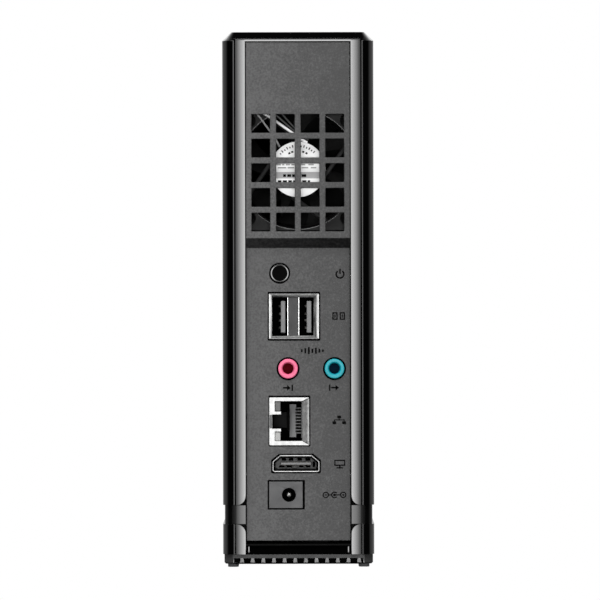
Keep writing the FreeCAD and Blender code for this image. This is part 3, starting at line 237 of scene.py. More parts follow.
# darker copies of the jack colours for the bore walls and floors: painted shade
M["pink_shaded_bore"] = plastic("jack_pink_bore", (0.42, 0.012, 0.06), 0.5, 0.1, 0.06, spec=0.15)
M["teal_shaded_bore"] = plastic("jack_teal_bore", (0.002, 0.12, 0.24), 0.5, 0.1, 0.06, spec=0.15)
M["pink_shaded_floor"] = plastic("jack_pink_floor", (0.07, 0.001, 0.004), 0.6, 0.15, 0.06, spec=0.02)
M["teal_shaded_floor"] = plastic("jack_teal_floor", (0.0012, 0.014, 0.029), 0.6, 0.15, 0.06, spec=0.02)
M["tongue_white"] = plastic("tongue_pale", (0.5, 0.5, 0.49), 0.4, 0.08, 0.08, grain=0.05)
M["pink"] = plastic("jack_pink", (0.52, 0.094, 0.178), 0.4, 0.06, 0.06, grain=0.04, spec=0.2)
M["teal"] = plastic("jack_teal", (0.004, 0.2, 0.238), 0.4, 0.06, 0.06, grain=0.04, spec=0.2)
M["inlet"] = plastic("inlet_grey", (0.036, 0.036, 0.037), 0.5, 0.12, 0.08, grain=0.1, spec=0.3)
M["holder"] = plastic("holder_black", (0.012, 0.012, 0.012), 0.4, 0.2, 0.08, grain=0.1)
M["chip"] = plastic("chip_black", (0.018, 0.018, 0.019), 0.55, 0.2, 0.1, grain=0.12)
M["coil"] = plastic("coil_grey", (0.09, 0.09, 0.095), 0.5, 0.2, 0.08, grain=0.15)
M["wire"] = plastic("wire_black", (0.015, 0.015, 0.015), 0.4, 0.2, 0.1)
M["magnet"] = plastic("magnet_grey", (0.06, 0.06, 0.06), 0.5, 0.2, 0.1, grain=0.1)
M["white"] = plastic("led_white", (0.75, 0.76, 0.72), 0.35, 0.04, 0.05)
M["label"] = plastic("label_white", (0.68, 0.68, 0.68), 0.5, 0.03, 0.06, grain=0.05, spec=0.25)
M["label_grey"] = plastic("label_grey_band", (0.3, 0.3, 0.3), 0.5, 0.05, 0.06, grain=0.05, spec=0.2)
M["print_grey"] = plastic("label_grey_print", (0.16, 0.16, 0.16), 0.5, 0.1, 0.06)
M["ink"] = plastic("black_print", (0.0012, 0.0012, 0.0012), 0.85, 0.2, 0.08, spec=0.03)
M["nickel"] = metal("socket_nickel", (0.62, 0.61, 0.6), 0.3, "X", 0.1)
M["nickel_bright"] = metal("socket_nickel_bright", (0.112, 0.112, 0.1115), 0.3, None, 0.04, 0.04)
# next, a lighter copy of the socket nickel for sheet edges (painted highlight) and a darker copy for folds and shaded
# rims (painted shade)
M["nickel_highlight"] = metal("socket_nickel_sheet", (0.4, 0.4, 0.396), 0.3, None, 0.05, 0.05)
M["nickel_shaded"] = metal("socket_nickel_mid", (0.045, 0.045, 0.0447), 0.34, None, 0.1)
M["nickel_dark"] = metal("socket_nickel_dark", (0.13, 0.13, 0.13), 0.36, None, 0.1)
M["gold"] = metal("contact_gold", (0.8, 0.55, 0.2), 0.25)
M["steel"] = metal("screw_steel", (0.5, 0.5, 0.5), 0.3, None, 0.1)
M["zinc"] = metal("zinc_plate", (0.55, 0.56, 0.57), 0.35, "Z", 0.1)
M["alu"] = metal("aluminium", (0.75, 0.76, 0.77), 0.32, "Z", 0.06)
M["cast"] = metal("cast_aluminium", (0.58, 0.59, 0.6), 0.5, None, 0.1, 0.1, grain=0.3)
M["disc"] = metal("disc_mirror", (0.8, 0.8, 0.8), 0.06, None, 0.02, 0.02)
M["copper"] = metal("copper", (0.75, 0.33, 0.16), 0.3)
M["bronze"] = metal("bronze", (0.55, 0.35, 0.16), 0.4, None, 0.12, 0.1, grain=0.2)
M["pin"] = metal("pin_bright", (0.3, 0.298, 0.29), 0.4)
# darker copies of the socket nickel for folded mouths and spring fingers: painted shade
M["flare"] = metal("socket_nickel_flare_shaded", (0.06, 0.06, 0.0596), 0.36, None, 0.1, 0.1)
M["finger"] = metal("socket_finger_shaded", (0.03, 0.03, 0.0295), 0.4, None, 0.12)
M["contact"] = metal("contact_dull", (0.75, 0.74, 0.7), 0.35, None, 0.1)
M["contact_dark"] = metal("contact_shaded", (0.05, 0.046, 0.038), 0.4, None, 0.1)


def panel_coat(name="panel_powder_coat", depth=1.0, spec=0.34):
    """Dark grey powder coat: fine sparkle and a close, shallow texture, with painted light: the colour grows lighter
    towards +X. depth below 1 darkens the whole colour as painted shade.
    """
    g = Nodes(name)
    speck = g.noise(1350.0, 4.0, 0.75)
    cloud = g.noise(330.0, 3.0, 0.6)
    mixed = g.math("ADD", g.math("MULTIPLY", speck, 0.84), g.math("MULTIPLY", cloud, 0.16))
    # painted light: the base colour grows lighter towards +X and darker towards -X, as if lit from one side
    across = g.add("ShaderNodeSeparateXYZ")
    g.link(g.coord(), across.inputs[0])
    mixed = g.math("ADD", mixed, g.math("MULTIPLY", across.outputs[0], 3.6))
    g.link(g.ramp(mixed, [(0.4, shade((0.0118, 0.0118, 0.0119), depth)), (0.5, shade((0.026, 0.026, 0.0262), depth)),
                          (0.6, shade((0.051, 0.051, 0.0513), depth))]),
           g.b.inputs["Base Color"])
    g.link(g.span(speck, 0.44, 0.62, 0.3, 0.7), g.b.inputs["Roughness"])
    n1 = g.bump(g.noise(1900.0, 2.0, 0.6), 0.55, 0.00007)
    g.link(n1, g.b.inputs["Normal"])
    g.set(ior=1.45, spec=spec)
    return g.m


def board_green():
    g = Nodes("board_green")
    tracks = g.cells(700.0, "DISTANCE_TO_EDGE")
    g.link(g.ramp(tracks, [(0.0, (0.012, 0.10, 0.045)), (0.09, (0.012, 0.10, 0.045)), (0.13, (0.006, 0.055, 0.025))]),
           g.b.inputs["Base Color"])
    g.link(g.span(g.noise(300.0, 3.0), 0.25, 0.4), g.b.inputs["Roughness"])
    g.link(g.bump(tracks, 0.15, 0.00003), g.b.inputs["Normal"])
    g.set(ior=1.5)
    return g.m


def smoked():
    g = Nodes("smoked_window")
    g.link(g.ramp(g.noise(60.0), [(0.3, (0.012, 0.012, 0.014)), (0.7, (0.018, 0.018, 0.02))]), g.b.inputs["Base Color"])
    g.link(g.span(g.noise(300.0, 3.0), 0.03, 0.07), g.b.inputs["Roughness"])
    g.set(ior=1.49, coat=0.5)
    return g.m


def lens(name, base):
    g = Nodes(name)
    g.link(g.ramp(g.noise(500.0), [(0.3, shade(base, 0.94)), (0.7, shade(base, 1.05))]), g.b.inputs["Base Color"])
    g.link(g.span(g.noise(900.0, 3.0), 0.08, 0.2), g.b.inputs["Roughness"])
    g.set(ior=1.49, coat=0.4, sss=0.2)
    g.b.inputs["Subsurface Radius"].default_value = (0.001, 0.001, 0.001)
    return g.m


M["panel"] = panel_coat()
# a darker copy of the coat for the slope between the port face and the fan face: painted shade
M["panel_shaded"] = panel_coat("panel_powder_coat_shaded", 0.55, 0.2)
M["board"] = board_green()
M["smoked"] = smoked()
M["lens_led"] = plastic("lens_milky", (0.25, 0.25, 0.245), 0.45, 0.12, 0.08, grain=0.1, spec=0.25)
M["lens_dim"] = plastic("lens_smoky", (0.085, 0.085, 0.084), 0.5, 0.45, 0.1, grain=0.25, spec=0.2)
M["lens_clear"] = lens("light_pipe", (0.6, 0.62, 0.65))


def paint(o, key):
    o.data.materials.clear()
    o.data.materials.append(M[key])
    for p in o.data.polygons:
        p.material_index = 0
    return o


FINISH = {
    "upper_cover": "gloss", "rear_trim": "gloss_lip", "status_window": "smoked", "lower_shell": "gloss",
    "base_plate": "base", "rubber_feet": "rubber", "base_screws": "steel", "inner_frame": "frame", "rear_panel": "panel",
    "panel_screws": "steel", "main_board": "board", "board_screws": "steel", "soc_chip": "chip", "soc_heatsink": "alu",
    "board_chips": "chip", "inductors": "coil", "capacitors": "alu", "battery_holder": "holder", "rtc_battery": "steel",
    "power_switch": "holder", "usb_shell": "nickel_bright", "usb_insulator": "insert_grey", "usb_contacts": "contact",
    "audio_block": "insert_black", "audio_in_barrel": "pink", "audio_out_barrel": "teal", "lan_shield": "nickel_bright",
    "lan_housing": "insert_black", "lan_contacts": "contact_dark", "lan_led_lenses": "lens_led", "hdmi_shell": "nickel",
    "hdmi_tongue": "insert_black", "hdmi_contacts": "contact_dark", "dc_jack_body": "inlet", "dc_jack_pin": "pin",
    "power_button": "button", "fan_frame": "fan", "fan_label": "label", "fan_bearing": "bronze", "fan_stator": "copper",
    "fan_screws": "coated", "fan_rotor": "rotor", "fan_magnet": "magnet", "fan_shaft": "steel", "fan_cable": "wire",
    "drive_casting": "coated", "drive_lid": "coated", "drive_board": "board", "drive_plug": "insert_black",
    "drive_platters": "disc", "head_arm": "alu", "drive_bracket_front": "coated", "drive_bracket_rear": "coated",
    "drive_screws": "coated", "backplane_board": "board", "drive_socket": "insert_black", "link_header": "insert_black",
    "led_board": "board", "status_leds": "white", "light_pipes": "lens_clear",
}
missing = sorted(set(N) - set(FINISH))
if missing:
    raise RuntimeError("no finish for " + ", ".join(missing))
for name, key in FINISH.items():
    paint(N[name], key)


def zones(name, keys, pick):
    """Gives the faces of one CAD piece different finishes: pick(centre in mm, normal) returns a place in keys."""
    o = N[name]
    o.data.materials.clear()
    for k in keys:
        o.data.materials.append(M[k])
    for f in o.data.polygons:
        f.material_index = pick(f.center / MM, f.normal)


# the waist is polished, the frame behind the panel is matt
zones("inner_frame", ("frame", "frame_dark", "frame_turn"), lambda c, n: 1 if not (13.9 < c.z < 20.4 and (abs(c.x) > 17.0 or c.y < -60) and (abs(c.x) > 23.0 or abs(c.y) > 63.0))
      else (2 if abs(c.x) > 20.3 else 0))
# the slots of the base are unlit inside
def base_zone(c, n):
    if not 64.4 < abs(c.y) or abs(c.x) > 21.3 or not 1.2 < c.z < 3.05:
        return 0
    return 2 if abs(c.y) > 67.57 and abs(n.y) > 0.9 else 1


zones("base_plate", ("base", "well", "rib"), base_zone)


# ---------------------------------------------------------- mesh building kit
def off(loop, d):
    """Moves a closed 2D loop, counter-clockwise, inwards by d."""
    n, out = len(loop), []
    for i in range(n):
        x0, y0 = loop[i - 1]
        x1, y1 = loop[i]
        x2, y2 = loop[(i + 1) % n]
        ax, ay, bx, by = x1 - x0, y1 - y0, x2 - x1, y2 - y1
        la, lb = math.hypot(ax, ay), math.hypot(bx, by)
        n1, n2 = (-ay / la, ax / la), (-by / lb, bx / lb)
        k = max(1 + n1[0] * n2[0] + n1[1] * n2[1], 0.25)
        out.append((x1 + (n1[0] + n2[0]) / k * d, y1 + (n1[1] + n2[1]) / k * d))
    return out


def rnd(pts, r, seg=4):
    """A polygon with rounded corners: one radius, or one for each corner."""
    n, out = len(pts), []
    for i in range(n):
        p0, p1, p2 = Vector(pts[i - 1]), Vector(pts[i]), Vector(pts[(i + 1) % n])
        ri = r[i] if isinstance(r, (list, tuple)) else r
        if ri <= 0:
            out.append((p1.x, p1.y))
            continue
        a, b = (p0 - p1), (p2 - p1)
        la, lb = a.length, b.length
        a.normalize()
        b.normalize()
        half = math.acos(max(-1, min(1, a.dot(b)))) / 2
        if half > math.pi / 2 - 1e-4:
            out.append((p1.x, p1.y))
            continue
        t = min(ri / math.tan(half), 0.49 * min(la, lb))
        ri = t * math.tan(half)
        c = p1 + (a + b).normalized() * (ri / math.sin(half))
        s, e = p1 + a * t - c, p1 + b * t - c
        turn = math.atan2(s.x * e.y - s.y * e.x, s.dot(e))
        for k in range(seg + 1):
            w = turn * k / seg
            out.append((c.x + s.x * math.cos(w) - s.y * math.sin(w), c.y + s.x * math.sin(w) + s.y * math.cos(w)))
    return out


def rect(x0, x1, z0, z1, r=0.0, seg=4):
    return rnd([(x0, z0), (x1, z0), (x1, z1), (x0, z1)], r, seg)


def circle(x, z, r, n=48):
    return [(x + r * math.cos(2 * math.pi * i / n), z + r * math.sin(2 * math.pi * i / n)) for i in range(n)]


def quarter(b, seg):
    """(inset, depth) steps of a small round, from the face to the wall."""
    return [(b * (1 - math.sin(t)), b * (1 - math.cos(t))) for t in [math.pi / 2 * k / seg for k in range(seg + 1)]]


def rear(face):
    """Places (x, z, depth) on a face that looks towards +Y."""
    return lambda u, v, d: (u, face - d, v)


def front(face):
    return lambda u, v, d: (u, face + d, v)


def above(level):
    return lambda u, v, d: (u, v, level - d)


class Piece:
    """One modelled piece, in millimetres until it is done."""

    def __init__(self):
        self.bm = bmesh.new()
        self.layer = 0

    def loop(self, pts):
        return [self.bm.verts.new((p[0] * MM, p[1] * MM, p[2] * MM)) for p in pts]

    def face(self, verts):
        f = self.bm.faces.new(verts)
        f.material_index = self.layer
        f.smooth = True
        return f

    def skin(self, a, b, closed=True):
        n = len(a)
        for i in range(n if closed else n - 1):
            self.face((a[i], a[(i + 1) % n], b[(i + 1) % n], b[i]))

    def fill(self, loops):
        if len(loops) == 1 and len(loops[0]) <= 8:
            self.face(loops[0])
            return
        edges = []
        for l in loops:
            for i in range(len(l)):
                pair = (l[i], l[(i + 1) % len(l)])
                edges.append(self.bm.edges.get(pair) or self.bm.edges.new(pair))
        made = bmesh.ops.triangle_fill(self.bm, use_beauty=True, use_dissolve=False, edges=edges)
        for f in made["geom"]:
            if isinstance(f, bmesh.types.BMFace):
                f.material_index = self.layer
                f.smooth = True

    def sides(self, loop2d, place, steps, sign=1):
        """Rings of one outline at (inset, depth) steps, skinned together. Returns the first and last ring."""
        rings = [self.loop([place(u, v, d) for u, v in (off(loop2d, sign * i) if i else loop2d)]) for i, d in steps]
        for a, b in zip(rings, rings[1:]):
            self.skin(a, b)
        return rings[0], rings[-1]

    def plate(self, outer, holes, place, thick, b=0.2, back=0.0, seg=3, hb=None):
        """A flat piece with rounded rims. holes are loops, and hb is the round of their rims."""
        firsts, lasts = [], []
        for k, loop in enumerate([outer, *holes]):
            bb = b if k == 0 or hb is None else hb
            steps = quarter(bb, seg) if bb else [(0, 0)]
            steps = steps + ([(i, thick - d) for i, d in reversed(quarter(back, max(1, seg - 1)))] if back else [(0, thick)])
            f, l = self.sides(loop, place, steps, 1 if k == 0 else -1)
            firsts.append(f)
            lasts.append(l)
        self.fill(firsts)
        self.fill(lasts)

    def block(self, x0, x1, y0, y1, z0, z1, b=0.1, seg=2):
        """A rounded block, all twelve edges broken."""
        b = min(b, 0.45 * min(x1 - x0, y1 - y0, z1 - z0))
        before = set(self.bm.faces)
        made = bmesh.ops.create_cube(self.bm, size=1.0)["verts"]
        for v in made:
            v.co = Vector(((x0 + x1) / 2 + v.co.x * (x1 - x0), (y0 + y1) / 2 + v.co.y * (y1 - y0), (z0 + z1) / 2 + v.co.z * (z1 - z0))) * MM
        edges = list({e for v in made for e in v.link_edges})
        if b > 0:
            bmesh.ops.bevel(self.bm, geom=edges, offset=b * MM, segments=seg, profile=0.5, affect="EDGES")
        for f in self.bm.faces:
            if f not in before:
                f.smooth = True
                f.material_index = self.layer

    def turned(self, profile, centre, axis="Y", n=64, closed=True, scallop=None):
        """Turns (radius, position) points about an axis; open ends on the axis are closed with a fan."""
        rings = []
        for r, a in profile:
            if r < 1e-6:
                p = {"Y": (centre[0], a, centre[1]), "X": (a, centre[0], centre[1]), "Z": (centre[0], centre[1], a)}[axis]
                rings.append(self.loop([p]))
                continue
            pts = []
            for i in range(n):
                w = 2 * math.pi * i / n
                q = r * (scallop(w, a) if scallop else 1)
                u, v = q * math.cos(w), q * math.sin(w)
                pts.append({"Y": (centre[0] + u, a, centre[1] + v), "X": (a, centre[0] + u, centre[1] + v), "Z": (centre[0] + u, centre[1] + v, a)}[axis])
            rings.append(self.loop(pts))
        pairs = list(zip(rings, rings[1:]))
        if closed and len(rings[0]) > 1 and len(rings[-1]) > 1:
            pairs.append((rings[-1], rings[0]))
        for a, b in pairs:
            if len(a) == 1 or len(b) == 1:
                one, ring = (a[0], b) if len(a) == 1 else (b[0], a)
                for i in range(len(ring)):
                    self.face((one, ring[i], ring[(i + 1) % len(ring)]))
            else:
                self.skin(a, b)

    def slab(self, pts, faces, back):
        """A skin given by points and faces, and the same skin moved by back(), closed round its rim."""
        top = self.loop(pts)
        low = self.loop(back if isinstance(back, list) else [back(q) for q in pts])
        count = {}
        for f in faces:
            self.face([top[i] for i in f])
            self.face([low[i] for i in reversed(f)])
            for a, b in zip(f, f[1:] + f[:1]):
                count.setdefault(frozenset((a, b)), []).append((a, b))
        for k, v in count.items():
            if len(v) == 1:
                a, b = v[0]
                self.face((top[b], top[a], low[a], low[b]))

    def soft(self, width, angle=35.0, seg=2, test=None):
        """Rounds the sharp edges made so far."""
        bmesh.ops.remove_doubles(self.bm, verts=self.bm.verts, dist=2e-7)
        bmesh.ops.recalc_face_normals(self.bm, faces=self.bm.faces)
        picked = [e for e in self.bm.edges if len(e.link_faces) == 2 and e.calc_face_angle(0) > math.radians(angle)
                  and (test is None or test((e.verts[0].co + e.verts[1].co) / (2 * MM)))]
        bmesh.ops.bevel(self.bm, geom=picked, offset=width * MM, segments=seg, profile=0.5, affect="EDGES", clamp_overlap=True)
        for f in self.bm.faces:
            f.smooth = True

    def strip(self, path, thick, z0, z1):
        """A bent metal strip: a path of (x, y) points with a thickness, as wide as z0 to z1."""
        n = len(path)
        left, right = [], []
        for i in range(n):
            a, b = Vector(path[max(0, i - 1)]), Vector(path[min(n - 1, i + 1)])
            d = (b - a).normalized()
            m = Vector((-d.y, d.x)) * (thick / 2)
            c = Vector(path[i])
            left.append(c + m)
            right.append(c - m)
        outline = left + right[::-1]
        a, b = self.loop([(q.x, q.y, z0) for q in outline]), self.loop([(q.x, q.y, z1) for q in outline])
        self.skin(a, b)
        for l in (a, b):
            for i in range(n - 1):
                self.face((l[i], l[i + 1], l[2 * n - 2 - i], l[2 * n - 1 - i]))

    def tube(self, path, r, n=10):
        """A round wire along points, closed at both ends."""
        rings = []
        for i, q in enumerate(path):
            a, b = Vector(path[max(0, i - 1)]), Vector(path[min(len(path) - 1, i + 1)])
            d = (b - a).normalized()
            u = d.cross(Vector((0.13, 0.9, 0.31))).normalized()
            v = d.cross(u)
            rings.append(self.loop([Vector(q) + u * (r * math.cos(2 * math.pi * k / n)) + v * (r * math.sin(2 * math.pi * k / n)) for k in range(n)]))
        for a, b in zip(rings, rings[1:]):
            self.skin(a, b)
        self.face(rings[0])
        self.face(rings[-1])

    def mark(self, outline, face, thick=0.03, holes=()):
        """A thin printed shape on a face that looks towards +Y."""
        self.plate(outline, list(holes), rear(face + thick), thick + 0.02, b=0.0)

    def done(self, name, keys, body, replaces=(), merge=2e-7, weld=True, crisp=62):
        if weld:
            bmesh.ops.remove_doubles(self.bm, verts=self.bm.verts, dist=merge)
        loose = [v for v in self.bm.verts if not v.link_faces]
        bmesh.ops.delete(self.bm, geom=loose, context="VERTS")
        bmesh.ops.recalc_face_normals(self.bm, faces=self.bm.faces)
        me = bpy.data.meshes.new(name)
        self.bm.to_mesh(me)
        self.bm.free()
        o = bpy.data.objects.new(name, me)
        bpy.context.scene.collection.objects.link(o)
        for k in ([keys] if isinstance(keys, str) else keys):
            me.materials.append(M[k])
        me.set_sharp_from_angle(angle=math.radians(crisp))
        n = o.modifiers.new("normals", "WEIGHTED_NORMAL")
        n.keep_sharp = True
        n.weight = 50
        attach(o, body)
        if replaces:
            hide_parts(*replaces)
        return o


# ------------------------------------------------------------- the rear panel
def panel_profile():
    """(z, y, normal y, normal z) rows across the fold between the port face and the fan face."""
    rows = []
    slope = math.atan2(3.1, 3.0)            # the slope's rise over its depth
    tilt = math.pi / 2 - slope              # how far the normal turns down
    r = 0.55
    # concave fold at the foot of the slope, then convex fold at its top
    for (y, z), sign in (((65.0, 104.4), -1), ((68.0, 107.5), 1)):
        t = r * math.tan(tilt / 2)
        for k in range(5):
            w = tilt * k / 4 if sign < 0 else tilt * (1 - k / 4)
            if sign < 0:
                c = (y + r, z - t)
                rows.append((c[1] + r * math.sin(w), c[0] - r * math.cos(w), math.cos(w), -math.sin(w)))
            else:
                c = (y - r, z + t)
                rows.append((c[1] - r * math.sin(w), c[0] + r * math.cos(w), math.cos(w), -math.sin(w)))
    return rows


def rear_panel():
    rows = panel_profile()
    table = {round(z, 6): (y, ny, nz) for z, y, ny, nz in rows}
    za, zb = rows[0][0], rows[-1][0]

    def place(u, z, d):
        key = table.get(round(z, 6))
        if key and za < z < zb:
            y, ny, nz = key
            return (u, y - d * ny, z - d * nz)
        return (u, (65.0 if z <= za + 1e-6 else 68.0) - d, z)

    half, low, high = 17.05, 8.5, 171.7
    zs = [r[0] for r in rows]
    top = rnd([(half, 150.0), (half, high), (-half, high), (-half, 150.0)], [0, 0.35, 0.35, 0], 3)[1:-1]
    bottom = rnd([(-half, 20.0), (-half, low), (half, low), (half, 20.0)], [0, 0.35, 0.35, 0], 3)[1:-1]
    outline = [(half, z) for z in zs] + top + [(-half, z) for z in reversed(zs)] + bottom
    vents = []
    for i in range(5):
        for j in range(4):
            x, z = 0.05 + 8.06 * (j - 1.5), 128.9 + 8.06 * (i - 2)
            vents.append(rect(x - 3.025, x + 3.025, z - 3.025, z + 3.025, 0.12, 2))
    ports = [circle(6.05, 96.1, 3.45, 64), rect(-7.19, 9.97, 74.0, 89.97, 0.25, 3), circle(3.37, 64.84, 3.75, 64),
             circle(-11.83, 64.84, 3.75, 64), rect(-3.86, 9.77, 39.4, 56.0, 0.25, 3), rect(-2.03, 10.13, 18.72, 28.37, 0.25, 3),
             rnd([(-7.3, 30.6), (8.95, 30.6), (8.95, 34.9), (6.4, 36.95), (-4.8, 36.95), (-7.3, 34.9)], 0.4, 3)]
    p = Piece()
    b, thick = 0.22, 1.6
    steps = quarter(b, 3) + [(i, thick - d) for i, d in reversed(quarter(0.1, 1))]
    # the rim keeps its rows, so insets move sideways only
    n = len(outline)
    rings = []
    for i, d in steps:
        moved = off(outline, i) if i else outline
        pts = []
        for k, (u, v) in enumerate(moved):
            z = outline[k][1] if za - 1e-6 <= outline[k][1] <= zb + 1e-6 else v
            pts.append(place(u, z, d))
        rings.append(p.loop(pts))
    for a, c in zip(rings, rings[1:]):
        p.skin(a, c)
    m = len(zs)
    for ring, hole_step in ((rings[0], 0), (rings[-1], -1)):
        right, topv, left, bottomv = ring[:m], ring[m:m + len(top)], ring[m + len(top):2 * m + len(top)], ring[2 * m + len(top):]
        for k in range(m - 1):
            # the slope faces take the darker copy of the coat: painted shade
            p.layer = 2 if 1 < k < m - 3 else 0
            p.face((right[k], right[k + 1], left[m - 2 - k], left[m - 1 - k]))
        p.layer = 0
        if hole_step == 0:
            parts = {"up": [], "low": []}
            ends = {"up": [], "low": []}
            for group_name, loops, face in (("up", vents, 68.0), ("low", ports, 65.0)):
                for l in loops:
                    if group_name == "up":
                        f, e = p.sides(l, rear(face), steps, -1)
                    else:
                        # socket openings: a fine rim, and a cut wall in unlit black as painted shade
                        f, e = p.sides(l, rear(face), quarter(0.07, 2), -1)
                        p.layer = 1
                        g, e = p.sides(l, rear(face), [(0.0, 0.07), (0.0, thick)], -1)
                        p.layer = 0
                    parts[group_name].append(f)
                    ends[group_name].append(e)
        use = parts if hole_step == 0 else ends
        p.fill([[right[-1], *topv, left[0]], *use["up"]])
        p.fill([[left[-1], *bottomv, right[0]], *use["low"]])
    # fixing flanges behind the two long sides, and the fan's bosses, in unlit black as painted shade
    p.layer = 1
    for s in (-1, 1):
        lo, hi = sorted((s * 16.1, s * 17.05))
        p.block(lo, hi, 56.5, 63.6, 12.0, 100.0, 0.15)
        p.block(lo, hi, 56.5, 66.6, 154.0, 168.0, 0.15)
        for z in (114.1, 146.1):
            x = s * 16.0
            if abs(x) + 2 > 17.05:
                p.turned([(0.0, 66.6), (1.05, 66.6), (1.05, 63.75), (0.95, 63.7), (0.0, 63.7)], (s * 15.9, z), n=24)
    # black sheets behind the socket openings close the gaps round the shells with unlit black: painted shade
    for outer, hole in ((rect(-7.7, 10.1, 73.4, 90.5), rect(-6.86, 9.67, 74.51, 89.44)), (rect(-4.4, 10.1, 38.8, 56.6), rect(-3.59, 9.63, 39.67, 55.53)),
                        (rect(-2.5, 10.6, 18.2, 28.9), rect(-1.37, 9.71, 19.15, 27.91)), (rect(-7.8, 9.5, 30.1, 37.5), rect(-6.9, 8.57, 30.96, 36.61))):
        p.plate(outer, [hole], rear(63.35), 0.3, b=0.03, seg=1)
    return p.done("panel_skin", ("panel", "well", "panel_shaded"), "chassis", ("rear_panel",))


rear_panel()

# --------------------------------------------------- soft edges on CAD pieces
def soften(name, width, segments=2, angle=32.0):
    """Breaks the sharp edges of a CAD piece with a small round."""
    o = N[name]
    w = o.modifiers.new("weld", "WELD")
    w.merge_threshold = 1e-6
    d = o.modifiers.new("flats", "DECIMATE")
    d.decimate_type = "DISSOLVE"
    d.angle_limit = math.radians(0.6)
    b = o.modifiers.new("edges", "BEVEL")
    b.width = width * MM
    b.segments = segments
    b.limit_method = "ANGLE"
    b.angle_limit = math.radians(angle)
    b.harden_normals = False
    b.miter_outer = "MITER_ARC" if segments > 1 else "MITER_SHARP"
    n = o.modifiers.new("normals", "WEIGHTED_NORMAL")
    n.keep_sharp = False
    n.weight = 80
    return o


for name, width in (("upper_cover", 0.08), ("rubber_feet", 0.2)):
    soften(name, width)


# ------------------------------------------------ glossy trim and lower shell
def lip_fall(x):
    """How far a lip has fallen back at x from its inner edge."""
    x = max(0.0, abs(x) - 17.3)
    return 12.7 - math.sqrt(12.7 ** 2 - x ** 2)


def rear_trim():
    p = Piece()
    cols = [(20.4 - 3.1 * math.cos(a), 23.4 - 3.1 * math.sin(a)) for a in [math.pi / 2 * k / 10 for k in range(11)]]
    cols += [(20.5, 20.3)]
    crown = [(172.38 + 0.2 * math.sin(t), 0.2 * (1 - math.cos(t))) for t in [math.pi / 2 * k / 5 for k in range(1, 6)]]
    pts, where = [], {}
    for s in (1, -1):
        for c, (x, zb) in enumerate(cols):
            for r, (z, d) in enumerate([(zb, 0.0), (24.2, 0.0), (171.92, 0.0), (172.38, 0.0)] + crown):
                where[s, c, r] = len(pts)
                pts.append((s * x, 68.4 - lip_fall(x) - d, z))
    last = 3 + len(crown)
    faces = []
    for s in (1, -1):
        for c in range(len(cols) - 1):
            for r in range(last):
                faces.append((where[s, c, r], where[s, c + 1, r], where[s, c + 1, r + 1], where[s, c, r + 1]))
    for r in range(2, last):
        faces.append((where[1, 0, r], where[-1, 0, r], where[-1, 0, r + 1], where[1, 0, r + 1]))
    p.slab(pts, faces, lambda q: (q[0], 66.75, q[2]))
    p.soft(0.08, 38, 3)
    # the returns behind the lips are unlit black: painted shade
    p.layer = 1
    for s in (-1, 1):
        lo, hi = sorted((s * 17.6, s * 21.6))
        p.block(lo, hi, 65.3, 66.7, 24.0, 171.4, 0.1)
    return p.done("trim_skin", ("gloss_lip", "well"), "cover", ("rear_trim",))


